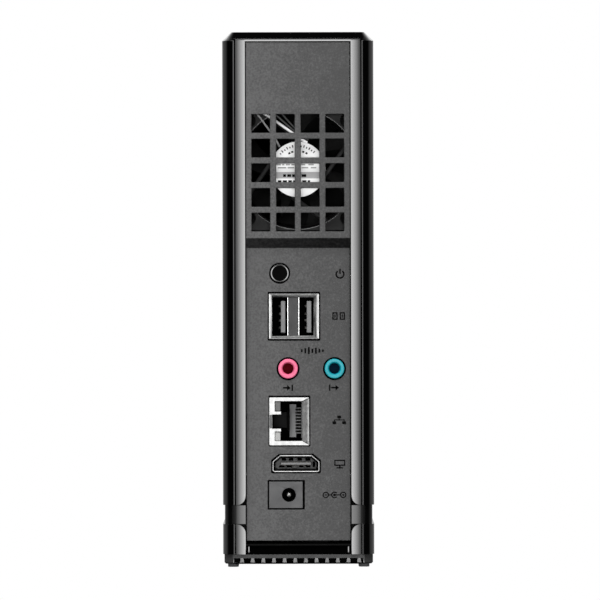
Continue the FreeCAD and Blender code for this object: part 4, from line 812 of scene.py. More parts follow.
def lower_shell():
    p = Piece()
    half = [(x, 68.4 - lip_fall(x), z, x, 66.75) for x, z in
            [(20.4 - 3.1 * math.cos(a), 10.95 + 3.1 * math.sin(a)) for a in [math.pi / 2 * k / 10 for k in range(11)]]]
    half += [(20.5, 68.4 - lip_fall(20.5), 14.05, 20.4, 66.75), (20.52, 67.5, 14.05, 20.45, 66.75),
             (20.85, 67.5, 14.05, 20.5, 66.76), (20.87, 68.45, 14.05, 20.55, 66.77)]
    groove = (len(half) - 4, len(half) - 3, len(half) - 2)
    first = math.asin(0.67 / 4.55)
    for k in range(1, 13):
        w = first + (math.pi / 2 - first) * k / 12
        half.append((20.2 + 4.55 * math.sin(w), 63.95 + 4.55 * math.cos(w), 14.05, 20.2 + 2.9 * math.sin(w), 63.95 + 2.9 * math.cos(w)))
    for k in range(11):
        w = math.pi / 2 * (1 + k / 10)
        half.append((21.4 + 3.35 * math.sin(w), -65.15 + 3.35 * math.cos(w), 14.05, 21.4 + 1.7 * math.sin(w), -65.15 + 1.7 * math.cos(w)))
    cols = half + [(-a, b, c, -d, e) for a, b, c, d, e in reversed(half)]
    outer = [p.loop([(a, b, 4.2), (a, b, 7.6), (a, b, c)]) for a, b, c, d, e in cols]
    inner = [p.loop([(d, e, 4.2), (d, e, 7.6), (d, e, c)]) for a, b, c, d, e in cols]
    # the groove faces take the unlit black band: painted shade
    dark = set(groove) | {len(cols) - 2 - k for k in groove}
    for k in range(len(cols) - 1):
        for r in range(2):
            p.layer = 1 if k in dark else 0
            p.face((outer[k][r], outer[k + 1][r], outer[k + 1][r + 1], outer[k][r + 1]))
            p.layer = 0
            p.face((inner[k][r], inner[k][r + 1], inner[k + 1][r + 1], inner[k + 1][r]))
        p.face((outer[k][2], outer[k + 1][2], inner[k + 1][2], inner[k][2]))
        p.face((outer[k][0], inner[k][0], inner[k + 1][0], outer[k + 1][0]))
    for k in (0, -1):
        for r in range(2):
            p.face((outer[k][r], outer[k][r + 1], inner[k][r + 1], inner[k][r]))
    p.soft(0.07, 38, 3)
    for s in (-1, 1):
        lo, hi = sorted((s * 15.95, s * 16.6))
        p.block(lo, hi, 67.1, 67.95, 4.25, 7.0, 0.17, 3)
    # the recess at the foot of the rear is a flat of unlit black: painted shade
    p.layer = 1
    p.block(-17.28, 17.28, 65.6, 67.4, 4.22, 7.1, 0.05)
    p.layer = 2
    p.block(-17.28, 17.28, 65.6, 68.3, 7.0, 7.58, 0.16, 3)
    slots = [rect(-11.3 + 5 * i, -8.7 + 5 * i, -36, 36, 1.2, 4) for i in range(5)]
    holes = [circle(sx * 17.8, sy * 50.0, 1.6, 24) for sx in (-1, 1) for sy in (-1, 1)]
    p.plate(rect(-23.5, 23.5, -67.2, 65.7, 2.0, 4), slots + holes, above(5.6), 1.38, b=0.05, seg=1)
    return p.done("shell_skin", ("gloss", "band", "frame_dark"), "chassis", ("lower_shell",))


rear_trim()
lower_shell()


# ---------------------------------------------------------------- the button
def power_button():
    p = Piece()
    c = (6.05, 96.1)
    rim = [(2.98, 65.08), (2.975, 65.12), (2.96, 65.145), (2.93, 65.155), (2.8, 65.171), (2.68, 65.186), (2.56, 65.2), (2.54, 65.12)]
    p.turned([(1.5, 58.3), (1.5, 61.7), (4.1, 61.7), (4.2, 61.8), (4.2, 62.8), (4.1, 62.9)], c, n=96, closed=False)
    p.turned([(2.98, 62.9), *rim], c, n=96, closed=False)
    p.turned([(0.0, 58.3), (1.5, 58.3)], c, n=96, closed=False)
    p.layer = 1
    p.turned([(4.1, 62.9), (2.98, 62.9)], c, n=96, closed=False)
    dish = [(2.54, 65.12), (2.3, 65.11), (2.0, 65.09), (1.6, 65.06), (1.0, 65.045), (0.5, 65.04), (0.0, 65.04)]
    p.turned(dish, c, n=96, closed=False)
    return p.done("button_cap", ("button", "cap"), "button", ("power_button",))


power_button()


# --------------------------------------------------------- double USB socket
def usb_socket():
    p = Piece()
    at = rear(65.35)
    f, l = p.sides(rect(-6.83, 9.64, 74.54, 89.41, 0.22, 3), at, quarter(0.1, 3) + [(0, 17.5)])
    p.fill([l])
    fl = p.loop([at(u, v, 0) for u, v in rect(-6.0, 8.62, 75.14, 88.88)])
    # rim: bottom, board side, top, far side, the top and bottom in a darker copy of the nickel as painted shade; then
    # the folded mouth in darker copies and unlit black, also painted shade
    for i, layer in enumerate((4, 0, 4, 0)):
        p.layer = layer
        p.face([*[f[(4 * i + 2 + k) % 16] for k in range(5)], fl[(i + 1) % 4], fl[i]])
    mo = p.loop([at(u, v, 0.34) for u, v in rect(-5.03, 8.43, 75.62, 88.17)])
    for i, layer in enumerate((1, 2, 1, 4)):
        p.layer = layer
        p.face((fl[i], fl[(i + 1) % 4], mo[(i + 1) % 4], mo[i]))
    p.layer = 1
    ed = p.loop([at(u, v, 0.6) for u, v in rect(-5.03, 8.43, 75.62, 88.17)])
    p.skin(mo, ed)
    # the walls and floor inside the can are unlit black: painted shade
    p.layer = 2
    dp = p.loop([at(u, v, 16.2) for u, v in rect(-5.05, 8.45, 75.62, 88.17)])
    p.skin(ed, dp)
    p.face(dp)
    # folded sheet either side of the middle web, in a lighter copy of the nickel as painted highlight, and the web
    # itself
    p.layer = 5
    p.block(-0.34, -0.04, 49.4, 65.22, 75.6, 88.2, 0.1, 3)
    p.block(3.27, 3.57, 49.4, 65.22, 75.6, 88.2, 0.1, 3)
    p.layer = 3
    p.block(-0.05, 3.28, 49.4, 64.85, 75.6, 88.2, 0.08)
    p.done("usb_can", ("nickel_bright", "flare", "well", "web", "nickel_shaded", "nickel_highlight"), "chassis", ("usb_shell",))

    p = Piece()
    for (a, b), (c0, c1) in zip(((3.56, 8.43), (-5.03, -0.33)), ((4.22, 5.69), (-4.31, -2.78))):
        p.layer = 0
        p.block(c0, c1, 51.5, 64.3, 76.6, 87.0, 0.22, 3)
        # the blocks behind the tongues are unlit black: painted shade
        p.layer = 1
        p.block(a + 0.05, b - 0.05, 49.2, 51.5, 75.7, 88.1, 0.05)
    p.done("usb_tongues", ("insert_grey", "well"), "chassis", ("usb_insulator",))

    p = Piece()
    for c0, c1 in ((4.22, 5.69), (-4.31, -2.78)):
        for z in (85.36, 82.81, 80.69, 78.27):
            s = c1 + 0.08
            p.strip([(s, 51.6), (s, 60.0), (s + 0.03, 61.0), (s + 0.16, 61.9), (s + 0.38, 62.6), (s + 0.5, 63.0), (s + 0.4, 63.35),
                     (s + 0.15, 63.65), (s, 63.9)], 0.14, z - 0.36, z + 0.36)
    p.done("usb_springs", "contact", "chassis", ("usb_contacts",))


# ------------------------------------------------------------- audio sockets
def audio_jacks():
    for node, x, keys, slot in (("audio_in_barrel", 3.37, ("pink", "pink_shaded_bore", "pink_shaded_floor"), "jack_pink"),
                                ("audio_out_barrel", -11.83, ("teal", "teal_shaded_bore", "teal_shaded_floor"), "jack_teal")):
        p = Piece()
        c = (x, 64.84)
        crown = [(2.92 + 0.3 * math.sin(t), 65.8 + 0.3 * math.cos(t)) for t in [math.radians(90 - 11.25 * k) for k in range(9)]]
        lead = [(2.3, 66.1), (2.16, 66.07), (2.0, 65.94), (1.86, 65.72), (1.78, 65.45)]
        p.turned([(1.75, 51.0), (3.22, 51.0), *crown, (2.6, 66.11), *lead], c, n=96, closed=False)
        # the bore wall and its floor take the darker copies of the colour: painted shade
        p.layer = 1
        p.turned([(1.78, 65.45), (1.75, 65.2), (1.75, 58.5), (1.75, 51.0)], c, n=96, closed=False)
        p.layer = 2
        p.turned([(1.75, 58.5), (0.9, 58.4), (0.0, 58.3)], c, n=96, closed=False)
        p.done(node.replace("barrel", "ring"), keys, "chassis", (node,))
    # the housing behind the jacks is unlit black: painted shade
    p = Piece()
    p.plate(rect(-15.9, 9.6, 58.2, 71.5, 0.5, 3), [circle(3.37, 64.84, 3.24, 64), circle(-11.83, 64.84, 3.24, 64)], rear(60.0), 10.4, b=0.3)
    p.done("audio_housing", "well", "chassis", ("audio_block",))


# ---------------------------------------------------------------- LAN socket
def lan_socket():
    p = Piece()
    at = rear(65.3)
    f, l = p.sides(rect(-3.56, 9.6, 39.7, 55.5, 0.3, 3), at, quarter(0.12, 3) + [(0, 20.8)])
    p.fill([l])
    pts = [(-1.25, 41.15), (7.8, 41.15), (7.8, 44.3), (5.75, 44.3), (5.75, 45.2), (8.62, 45.2), (8.62, 49.9), (5.75, 49.9),
           (5.75, 50.8), (7.8, 50.8), (7.8, 54.25), (-1.25, 54.25)]
    top = p.loop([at(u, v, 0.0) for u, v in pts])
    lip = p.loop([at(u, v, 0.3) for u, v in pts])
    ca, cb = p.loop([at(-3.3, 55.25, 0.0), at(-3.3, 39.95, 0.0)])
    p.fill([f, [*top, ca, cb]])
    for i in range(11):
        p.face((top[i], top[i + 1], lip[i + 1], lip[i]))
    # the sprung flap leans in towards the mouth, in darker copies of the nickel, with unlit black mitres at both ends:
    # painted shade
    p.layer = 1
    o0, o1 = p.loop([at(-3.3, 40.2, 0.01), at(-3.3, 55.0, 0.01)])
    m0, m1 = p.loop([at(-2.62, 40.58, 0.06), at(-2.62, 54.66, 0.06)])
    p.face((o0, o1, m1, m0))
    n0, n1, i0, i1 = p.loop([at(-2.5, 40.64, 0.08), at(-2.5, 54.6, 0.08), at(-1.25, 41.4, 0.26), at(-1.25, 54.0, 0.26)])
    p.layer = 3
    p.face((n0, n1, i1, i0))
    p.layer = 2
    p.face((m0, m1, n1, n0))
    p.face((ca, top[11], i1, n1, m1, o1))
    p.face((cb, o0, m0, n0, i0, top[0]))
    p.face((cb, ca, o1, o0))
    # the walls and floor inside are unlit black: painted shade
    deep = p.loop([at(u, v, 12.6) for u, v in pts])
    for i in range(11):
        p.face((lip[i], lip[i + 1], deep[i + 1], deep[i]))
    p.face((i0, i1, deep[11], deep[0]))
    p.face((top[11], lip[11], deep[11], i1))
    p.face((top[0], i0, deep[0], lip[0]))
    p.fill([deep])
    # the flange is folded thin beside the keyway
    p.layer = 4
    p.block(8.64, 9.46, 64.9, 65.33, 45.3, 49.8, 0.05)
    p.done("lan_can", ("nickel_bright", "flare", "well", "nickel_shaded", "strip"), "chassis", ("lan_shield",))

    # the moulding inside: a sloping floor, a comb for the wires and a keyway
    p = Piece()
    p.slab([(2.9, 59.2, 42.3), (2.9, 59.2, 53.1), (1.9, 60.2, 53.1), (1.9, 60.2, 42.3), (0.75, 60.9, 53.1), (0.75, 60.9, 42.3)],
           [(0, 1, 2, 3), (3, 2, 4, 5)], lambda q: (q[0], 54.0, q[2]))
    p.soft(0.1, 30, 2)
    # the keyway floor in a darker copy of the grey: painted shade
    p.layer = 4
    p.slab([(8.2, 54.6, 45.4), (8.2, 54.6, 50.4), (3.8, 58.4, 50.4), (3.8, 58.4, 45.4)], [(0, 1, 2, 3)], lambda q: (q[0], 53.9, q[2]))
    p.layer = 1
    for i in range(9):
        z = 47.8 + (i - 4) * 1.02
        p.block(-1.05, 0.85, 55.0, 62.6, z - 0.17, z + 0.17, 0.07)
    p.block(-1.2, -0.9, 54.0, 63.2, 42.0, 53.6, 0.1)
    # an unlit black bar standing in for a cast shadow: painted shadow
    p.layer = 2
    p.block(3.05, 3.75, 54.2, 62.4, 44.6, 51.2, 0.1)
    # a strip of the shield's fold in a darker copy of the nickel: painted shade
    p.layer = 3
    p.block(8.72, 8.98, 54.4, 64.9, 45.4, 49.7, 0.08)
    p.done("lan_insert", ("ramp", "comb", "well", "flare", "insert_shaded"), "chassis", ("lan_housing",))

    p = Piece()
    for i in range(8):
        z = 47.8 + (i - 3.5) * 1.02
        p.strip([(-0.7, 54.2), (-0.8, 61.2), (-0.7, 62.0), (-0.35, 62.3), (0.1, 62.0), (0.6, 61.4), (1.0, 61.0)], 0.16, z - 0.16, z + 0.16)
    p.done("lan_wires", "contact_dark", "chassis", ("lan_contacts",))

    p = Piece()
    p.block(5.86, 7.72, 50.2, 64.95, 50.95, 54.12, 0.25, 3)
    p.layer = 1
    p.block(5.86, 7.72, 50.2, 64.95, 41.2, 44.15, 0.25, 3)
    p.done("lan_lamps", ("lens_dim", "lens_led"), "chassis", ("lan_led_lenses",))


# --------------------------------------------------------------- HDMI socket
def video_socket():
    p = Piece()
    at = rear(65.35)
    pts = rnd([(-6.86, 31.0), (8.53, 31.0), (8.53, 34.45), (6.0, 36.57), (-4.3, 36.57), (-6.86, 34.45)], [0.75, 0.75, 0.6, 0.6, 0.6, 0.6], 5)
    f, l = p.sides(pts, at, quarter(0.1, 3) + [(0, 11.8)])
    p.fill([l])
    i0, i1 = p.sides(pts, at, [(0.34, 0.0), (0.38, 0.03), (0.4, 0.3)])
    p.skin(f, i0)
    # the inward fold in a darker copy of the nickel, then unlit black deep walls: painted shade
    p.layer = 1
    g0, g1 = p.sides(pts, at, [(0.4, 0.3), (0.74, 0.5), (0.95, 1.9)])
    p.layer = 2
    w0, w1 = p.sides(pts, at, [(0.95, 1.9), (0.98, 10.6)])
    p.fill([w1])
    # the insulator round the tongue, with its two rows of cells
    cells = [rect(a, b, 34.62, 35.5, 0.1, 2) for a, b in ((-3.86, -2.22), (-1.04, 0.4), (1.73, 3.14), (4.08, 5.5))]
    cells += [rect(a, b, 32.42, 33.1, 0.1, 2) for a, b in ((-3.86, -2.0), (-1.54, -0.13), (2.03, 4.08), (4.55, 6.41))]
    p.layer = 4
    p.plate(rnd([(-5.9, 31.95), (7.55, 31.95), (7.55, 34.1), (5.6, 35.7), (-3.95, 35.7), (-5.9, 34.1)], 0.3, 3),
            cells + [rect(-4.2, 5.9, 33.28, 34.2, 0.1, 2), rect(-5.4, -4.6, 32.5, 34.3, 0.1, 2)], rear(61.2), 0.8, b=0.06, seg=2)
    # spring fingers on the two long walls, in a darker copy of the nickel as painted shade
    p.layer = 3
    for x, w in ((3.85, 0.3), (0.9, 0.28), (-1.45, 0.28)):
        p.block(x - w, x + w, 58.0, 64.0, 35.0, 35.62, 0.1)
    for x, w in ((4.1, 0.3), (1.3, 0.95), (-2.15, 0.32)):
        p.block(x - w, x + w, 58.0, 63.9, 32.3, 32.85, 0.1)
    p.done("video_can", ("nickel_bright", "nickel_shaded", "well", "finger", "collar"), "chassis", ("hdmi_shell",))

    p = Piece()
    p.block(-4.1, 5.8, 55.4, 64.2, 33.35, 34.1, 0.14, 3)
    # the block behind the tongue is unlit black: painted shade
    p.layer = 1
    p.block(-5.4, 7.1, 54.6, 55.5, 32.0, 35.0, 0.05)
    p.done("video_tongue", ("insert_grey", "well"), "chassis", ("hdmi_tongue",))


# ------------------------------------------------------------------ DC inlet
def dc_inlet():
    p = Piece()
    at = rear(65.1)
    f, l = p.sides(rect(-1.34, 9.68, 19.18, 27.88, 0.18, 3), at, quarter(0.12, 3) + [(0, 14.2)])
    p.fill([l])
    hole = circle(3.17, 23.5, 2.25, 72)
    h0, h1 = p.sides(hole, at, quarter(0.14, 3), -1)
    p.fill([f, h0])
    # the wall of the hole is unlit black: painted shade
    p.layer = 1
    w0, w1 = p.sides(hole, at, [(0.0, 0.14), (0.0, 10.3)], -1)
    p.fill([w1])
    p.done("dc_body", ("inlet", "well"), "chassis", ("dc_jack_body",))
    p = Piece()
    tip = [(0.83 * math.sin(t), 63.0 + 0.5 * math.cos(t)) for t in [math.radians(90 - 9 * k) for k in range(10)]]
    p.turned([(0.0, 54.8), (0.83, 54.8), *tip, (0.0, 63.6)], (3.17, 23.5), n=40, closed=False)
    p.done("dc_pin", "pin", "chassis", ("dc_jack_pin",))


usb_socket()
audio_jacks()
lan_socket()
video_socket()
dc_inlet()


# ------------------------------------------------------------------- the fan
FX, FZ = 0.0, 130.1


def turned_about_fan(x, z, quarters):
    for _ in range(quarters):
        x, z = -z, x
    return FX + x, FZ + z


def beam(x0, z0, x1, z1, w):
    """The outline of a straight bar between two points."""
    d = Vector((x1 - x0, z1 - z0)).normalized() * (w / 2)
    n = Vector((-d.y, d.x))
    return [(x0 - n.x, z0 - n.y), (x1 - n.x, z1 - n.y), (x1 + n.x, z1 + n.y), (x0 + n.x, z0 + n.y)]


def fan_frame():
    p = Piece()
    at = rear(63.7)
    f, l = p.sides(rnd([(FX - 20, FZ - 20), (FX + 20, FZ - 20), (FX + 20, FZ + 20), (FX - 20, FZ + 20)], 3.4, 8), at, quarter(0.12, 2) + [(0, 10.0)])
    firsts, lasts = [f], [l]
    p.layer = 1
    flare = [(0.85 * (1 - math.sin(t)), 2.2 * (1 - math.cos(t))) for t in [math.pi / 2 * k / 10 for k in range(11)]]
    f, l = p.sides(circle(FX, FZ, 18.9, 128), at, flare + [(0.0, 9.7), (0.15, 10.0)], -1)
    firsts.append(f)
    lasts.append(l)
    p.layer = 0
    for sx in (-1, 1):
        for sz in (-1, 1):
            f, l = p.sides(circle(FX + sx * 16, FZ + sz * 16, 2.15, 24), at, quarter(0.12, 2) + [(0, 10.0)], -1)
            firsts.append(f)
            lasts.append(l)
    p.fill(firsts)
    p.fill(lasts)
    # four bars from the mouth to the hub, laid off the radius
    for k in range(4):
        a = turned_about_fan(9.9, 17.35, k)
        b = turned_about_fan(-2.0, 8.95, k)
        p.layer = 0
        p.plate(beam(*a, *b, 1.5), [], rear(63.2), 1.5, b=0.45, seg=4)
    p.layer = 2
    p.turned([(0.0, 62.2), (9.1, 62.2), (9.25, 62.35), (9.25, 63.36), (9.2, 63.46), (9.1, 63.5), (0.0, 63.5)], (FX, FZ), n=96, closed=False)
    p.turned([(2.02, 56.7), (2.6, 56.7), (2.6, 62.3), (2.02, 62.3)], (FX, FZ), n=32)
    p.done("fan_housing", ("fan", "fan_rim", "fan_disc"), "chassis", ("fan_frame",))

    # leads from the hub along one bar to the corner of the frame
    p = Piece()
    p.tube([(FX - 3.0, 63.45, FZ + 8.7), (FX - 1.2, 63.5, FZ + 9.75), (FX + 1.86, 63.5, FZ + 12.0), (FX + 7.1, 63.5, FZ + 15.75), (FX + 9.6, 63.6, FZ + 17.5),
            (FX + 11.6, 63.7, FZ + 18.6), (FX + 13.4, 63.3, FZ + 19.2), (FX + 14.4, 62.3, FZ + 19.5)], 0.46, 12)
    p.layer = 1
    p.tube([(FX - 1.2, 63.3, FZ + 10.6), (FX + 2.6, 63.3, FZ + 13.8), (FX + 6.4, 63.4, FZ + 17.2), (FX + 8.3, 63.5, FZ + 18.7), (FX + 10.0, 63.2, FZ + 19.4)], 0.34, 10)
    p.tube([(FX - 3.4, 63.2, FZ + 9.6), (FX + 1.0, 63.2, FZ + 13.5), (FX + 4.4, 63.3, FZ + 17.3), (FX + 6.2, 63.2, FZ + 19.4)], 0.34, 10)
    p.layer = 2
    p.tube([(FX + 6.0, 63.2, FZ + 7.4), (FX + 7.6, 63.3, FZ + 10.4), (FX + 9.6, 63.3, FZ + 13.2), (FX + 12.4, 63.5, FZ + 17.0), (FX + 13.6, 63.6, FZ + 18.4), (FX + 14.0, 63.1, FZ + 19.4)], 0.36, 10)
    p.done("fan_leads", ("lead_pale", "lead_dark", "lead_grey"), "chassis", ())


def fan_rotor():
    p = Piece()
    p.turned([(1.0, 54.6), (8.6, 54.6), (8.88, 54.72), (9.0, 55.0), (9.0, 61.68), (8.9, 61.8), (8.2, 61.8), (8.2, 55.7), (2.0, 55.7), (2.0, 56.3), (1.0, 56.3)],
             (FX, FZ), n=96)
    R, C = 8, 12
    for k in range(7):
        grid = []
        for i in range(R + 1):
            r = 8.7 + 9.55 * i / R
            chord = 5.6 + 0.42 * (r - 8.7)
            lead = 2 * math.pi * (k + 0.15) / 7 + math.radians(14) * (i / R) ** 1.4
            grid.append([Vector((FX + r * math.cos(lead + (j / C - 0.5) * chord / r), 61.25 - 6.1 * (j / C + 0.11 * math.sin(math.pi * j / C)),
                                 FZ + r * math.sin(lead + (j / C - 0.5) * chord / r))) for j in range(C + 1)])
        up, down = [], []
        for i in range(R + 1):
            for j in range(C + 1):
                du = grid[min(R, i + 1)][j] - grid[max(0, i - 1)][j]
                dv = grid[i][min(C, j + 1)] - grid[i][max(0, j - 1)]
                n = du.cross(dv).normalized()
                th = 0.42 * (1 - 0.72 * abs(2 * j / C - 1) ** 2.2) * (1 - 0.25 * i / R)
                up.append(grid[i][j] + n * th)
                down.append(grid[i][j] - n * th)
        faces = [(i * (C + 1) + j, i * (C + 1) + j + 1, (i + 1) * (C + 1) + j + 1, (i + 1) * (C + 1) + j) for i in range(R) for j in range(C)]
        p.slab(up, faces, down)
    p.done("fan_blades", "rotor", "fan_wheel", ("fan_rotor",))


def fan_label():
    p = Piece()
    p.turned([(0.0, 63.5), (9.1, 63.5), (9.1, 63.6), (9.05, 63.64), (8.9, 63.65), (0.0, 63.65)], (FX, FZ), n=96, closed=False)
    face = 63.65

    def wedge(a, r0, r1, w):
        c, s = math.cos(math.radians(a)), math.sin(math.radians(a))
        return beam(FX + r0 * c, FZ + r0 * s, FX + r1 * c, FZ + r1 * s, w)

    # a grey band across, plain gauge ticks and plain rules
    p.layer = 1
    zt, zb, r = -0.85, -2.95, 8.85
    at, ab = math.asin(zt / r), math.asin(zb / r)
    right = [(FX + r * math.cos(ab + (at - ab) * k / 6), FZ + r * math.sin(ab + (at - ab) * k / 6)) for k in range(7)]
    left = [(2 * FX - x, z) for x, z in reversed(right)]
    p.mark(right + left, face, 0.012)
    p.layer = 2
    for a in range(42, 140, 7):
        if abs(a - 91) > 3:
            p.mark(wedge(a, 7.35, 8.2 if a % 2 else 7.9, 0.36), face, 0.02)
    for a in (62, 72, 118, 107):
        p.mark(wedge(a, 5.7, 6.3, 0.7), face, 0.02)
    for x0, x1 in ((4.85, 3.9), (3.5, 2.2), (1.9, 0.9), (-1.2, -2.7)):
        p.mark(rect(FX + min(x0, x1), FX + max(x0, x1), FZ - 2.45, FZ - 1.6), face, 0.02)
    for x0, x1 in ((6.6, 5.4), (5.0, 3.6), (3.2, 2.0), (1.6, 0.9), (-1.4, -2.8), (-3.2, -4.0)):
        p.mark(rect(FX + min(x0, x1), FX + max(x0, x1), FZ - 4.35, FZ - 3.55), face, 0.02)
    p.layer = 3
    for z, rows in ((1.55, ((7.2, 5.6), (5.2, 4.4), (4.0, 2.6), (2.2, 0.9), (-1.1, -2.4), (-3.4, -5.2))), (0.55, ((6.6, 3.8), (3.4, 1.2), (-1.2, -3.4), (-4.2, -6.0)))):
        for x0, x1 in rows:
            p.mark(rect(FX + x1, FX + x0, FZ + z - 0.22, FZ + z + 0.22), face, 0.02)
    p.done("fan_disc_label", ("label", "label_grey", "ink", "print_grey"), "chassis", ("fan_label",))


fan_frame()
fan_rotor()
fan_label()


# ---------------------------------------------------- plain printed pictograms
def port_marks():
    p = Piece()
    y = 65.0

    def bar(x0, x1, z0, z1, r=0.0):
        p.mark(rect(min(x0, x1), max(x0, x1), z0, z1, r, 2), y)

    def ring(x, z, r, w, n=36):
        p.mark(circle(x, z, r, n), y, 0.03, [circle(x, z, r - w, n)])

    def frame_of(x0, x1, z0, z1, w, r=0.15):
        p.mark(rect(x0, x1, z0, z1, r, 2), y, 0.03, [rect(x0 + w, x1 - w, z0 + w, z1 - w, max(0.0, r - w), 2)])

    def arc(x, z, r, w, a0, a1, n=26):
        t = [math.radians(a0 + (a1 - a0) * k / n) for k in range(n + 1)]
        p.mark([(x + r * math.cos(k), z + r * math.sin(k)) for k in t] + [(x + (r - w) * math.cos(k), z + (r - w) * math.sin(k)) for k in reversed(t)], y)

    # on and off
    arc(-13.7, 95.75, 1.5, 0.5, 128, 412)
    bar(-13.95, -13.45, 95.9, 97.5)
    # two upright slots
    for x in (-15.3, -12.9):
        frame_of(x, x + 1.75, 80.8, 83.3, 0.42)
        bar(x + 0.68, x + 1.07, 81.5, 82.6)
    # sound level
    for i, t in enumerate((0.5, 0.85, 1.15, 0.7, 1.0, 0.6, 0.35)):
        bar(-4.6 + (3 - i) * 1.15 - 0.3, -4.6 + (3 - i) * 1.15 + 0.3, 70.7 - t, 70.7 + t)
    # arrow in, arrow out
    for tip, wall, z in ((2.55, 2.0, 58.6), (-13.3, -10.25, 58.6)):
        bar(wall - 0.24, wall + 0.24, z - 1.05, z + 1.05)
        bar(tip + 0.6, tip + 2.5, z - 0.26, z + 0.26)
        p.mark([(tip, z), (tip + 1.15, z - 0.95), (tip + 1.15, z + 0.95)], y)
    # three linked stations
    for x, z in ((-13.35, 49.0), (-14.95, 47.1), (-11.75, 47.1)):
        bar(x - 0.62, x + 0.62, z - 0.46, z + 0.46)
    bar(-15.1, -11.6, 47.88, 48.18)
    bar(-13.52, -13.18, 48.0, 48.7)
    bar(-15.12, -14.78, 47.4, 48.1)
    bar(-11.92, -11.58, 47.4, 48.1)
    # screen on a foot
    frame_of(-15.3, -11.7, 33.0, 35.0, 0.42)
    bar(-13.75, -13.25, 32.5, 33.1)
    bar(-14.6, -12.4, 32.15, 32.55)
    # polarity, centre positive
    for x in (-8.9, -14.6):
        ring(x, 23.5, 1.05, 0.36)
        bar(x - 0.42, x + 0.42, 23.36, 23.64)
    bar(-14.74, -14.46, 23.08, 23.92)
    arc(-11.75, 23.5, 1.1, 0.38, 220, 500)
    p.mark(circle(-11.75, 23.5, 0.45, 20), y)
    bar(-10.65, -9.95, 23.33, 23.67)
    bar(-13.55, -12.15, 23.33, 23.67)
    return p.done("port_marks", "ink", "chassis", ())


port_marks()


# ---------------------------------------------------------------- the studio
def world():
    w = bpy.data.worlds.new("studio")
    bpy.context.scene.world = w
    w.use_nodes = True
    t = w.node_tree
    t.nodes.clear()

    def add(kind, **props):
        n = t.nodes.new(kind)
        for k, v in props.items():
            setattr(n, k, v)
        return n

    def val(op, a, b=None, c=None):
        n = add("ShaderNodeMath", operation=op)
        for i, v in enumerate((a, b, c)):
            if v is None:
                continue
            if isinstance(v, (int, float)):
                n.inputs[i].default_value = v
            else:
                t.links.new(v, n.inputs[i])
        return n.outputs[0]

    def smooth(value, lo, hi, a=0.0, b=1.0):
        n = add("ShaderNodeMapRange", interpolation_type="SMOOTHSTEP")
        for k, v in (("From Min", lo), ("From Max", hi), ("To Min", a), ("To Max", b)):
            n.inputs[k].default_value = v
        t.links.new(value, n.inputs["Value"])
        return n.outputs[0]

    co = add("ShaderNodeTexCoord")
    sep = add("ShaderNodeSeparateXYZ")
    t.links.new(co.outputs["Generated"], sep.inputs[0])
    x, y, z = sep.outputs
    rad = math.pi / 180
    # angles: round from the socket side (+Y), signed towards +X, and up from the horizon
    turn = val("ARCTAN2", x, y)
    up = val("ARCSINE", z)
    away = val("ARCCOSINE", y)
    # long soft box behind the camera, brightest in the middle
    side = val("ABSOLUTE", val("SUBTRACT", turn, BOX_TURN * rad))
    tent = val("MAXIMUM", val("SUBTRACT", 1.0, val("DIVIDE", side, 30 * rad)), 0.0)
    band = val("MULTIPLY", smooth(up, -15 * rad, -7 * rad), smooth(up, 7 * rad, 15 * rad, 1.0, 0.0))
    key = val("MULTIPLY", val("MULTIPLY", tent, band), BOX_RADIANCE)
    # broad light from above the camera
    t_side = val("ABSOLUTE", val("SUBTRACT", turn, 8 * rad))
    top = val("MULTIPLY", smooth(t_side, 35 * rad, 65 * rad, 1.0, 0.0),
              val("MULTIPLY", smooth(up, 30 * rad, 42 * rad), smooth(up, 60 * rad, 72 * rad, 1.0, 0.0)))
    top = val("MULTIPLY", top, TOP_RADIANCE)
    # pale surroundings at the sides and behind
    walls = val("MULTIPLY", smooth(away, 72 * rad, 100 * rad), smooth(up, -50 * rad, -12 * rad, 0.08, 1.0))
    walls = val("MULTIPLY", walls, smooth(up, 52 * rad, 74 * rad, 1.0, 0.02))
    walls = val("MULTIPLY", walls, WALL_RADIANCE)
    # a second long box on the front side
    f_turn = val("SUBTRACT", math.pi, val("ABSOLUTE", turn))
    front = val("MULTIPLY", smooth(f_turn, 20 * rad, 60 * rad, 1.0, 0.0),
                val("MULTIPLY", smooth(up, 12 * rad, 24 * rad), smooth(up, 45 * rad, 62 * rad, 1.0, 0.0)))
    front = val("MULTIPLY", front, FRONT_RADIANCE)
    total = val("ADD", val("ADD", key, top), val("ADD", walls, front))
    total = val("ADD", total, 0.004)
    studio = add("ShaderNodeBackground")
    studio.inputs["Color"].default_value = (1, 1, 1, 1)
    t.links.new(total, studio.inputs["Strength"])
    seen = add("ShaderNodeBackground")
    seen.inputs["Color"].default_value = (1, 1, 1, 1)
    seen.inputs["Strength"].default_value = 1.0
    path = add("ShaderNodeLightPath")
    mix = add("ShaderNodeMixShader")
    t.links.new(path.outputs["Is Camera Ray"], mix.inputs[0])
    t.links.new(studio.outputs[0], mix.inputs[1])
    t.links.new(seen.outputs[0], mix.inputs[2])
    out = add("ShaderNodeOutputWorld")
    t.links.new(mix.outputs[0], out.inputs["Surface"])


BOX_TURN = 0.4
BOX_RADIANCE = 15.1
TOP_RADIANCE = 9.0
WALL_RADIANCE = 0.6
FRONT_RADIANCE = 3.0
world()

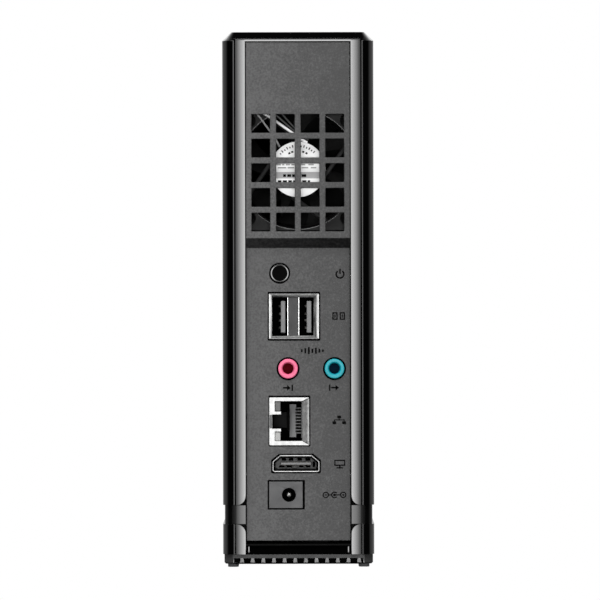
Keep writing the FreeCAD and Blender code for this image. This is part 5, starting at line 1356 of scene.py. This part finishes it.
floor_mesh = bpy.data.meshes.new("floor")
bm = bmesh.new()
bmesh.ops.create_circle(bm, cap_ends=True, segments=96, radius=5.0)
bm.to_mesh(floor_mesh)
bm.free()
floor = bpy.data.objects.new("floor", floor_mesh)
bpy.context.scene.collection.objects.link(floor)
floor.location = (0, 0, -0.0002)
fm = bpy.data.materials.new("pale_floor")
fm.use_nodes = True
ft = fm.node_tree
ft.nodes.clear()
f_out = ft.nodes.new("ShaderNodeOutputMaterial")
f_mix = ft.nodes.new("ShaderNodeMixShader")
f_path = ft.nodes.new("ShaderNodeLightPath")
f_dif = ft.nodes.new("ShaderNodeBsdfDiffuse")
f_dif.inputs["Color"].default_value = (0.08, 0.08, 0.08, 1)
f_em = ft.nodes.new("ShaderNodeEmission")
f_em.inputs["Strength"].default_value = 1.0
ft.links.new(f_path.outputs["Is Camera Ray"], f_mix.inputs[0])
ft.links.new(f_dif.outputs[0], f_mix.inputs[1])
ft.links.new(f_em.outputs[0], f_mix.inputs[2])
ft.links.new(f_mix.outputs[0], f_out.inputs["Surface"])
floor_mesh.materials.append(fm)
for ray in ("visible_diffuse", "visible_glossy", "visible_transmission", "visible_volume_scatter", "visible_shadow"):
    setattr(floor, ray, False)

# ---------------------------------------------------------------- the camera
LENS = 330.0
SCALE = 3.06                               # pixels of the 600 wide picture per millimetre at the rear face
REACH = 600 * LENS / (36.0 * SCALE) * MM   # from the rear face to the camera
cam_data = bpy.data.cameras.new("camera")
cam_data.lens = LENS
cam_data.sensor_width = 36.0
cam_data.clip_start, cam_data.clip_end = 0.05, 50.0
cam = bpy.data.objects.new("camera", cam_data)
bpy.context.scene.collection.objects.link(cam)
roll = math.radians(0.12)
right = Vector((-math.cos(roll), 0, -math.sin(roll)))
back = Vector((0, 1, 0))
up_v = back.cross(right)
cam.matrix_world = Matrix((
    (right.x, up_v.x, back.x, -0.588 * MM),
    (right.y, up_v.y, back.y, 0.068 + REACH),
    (right.z, up_v.z, back.z, 87.32 * MM),
    (0, 0, 0, 1)))
bpy.context.scene.camera = cam

view = bpy.context.scene.view_settings
view.view_transform = "Standard"
view.look = "None"
view.exposure = 0.0
view.gamma = 1.0
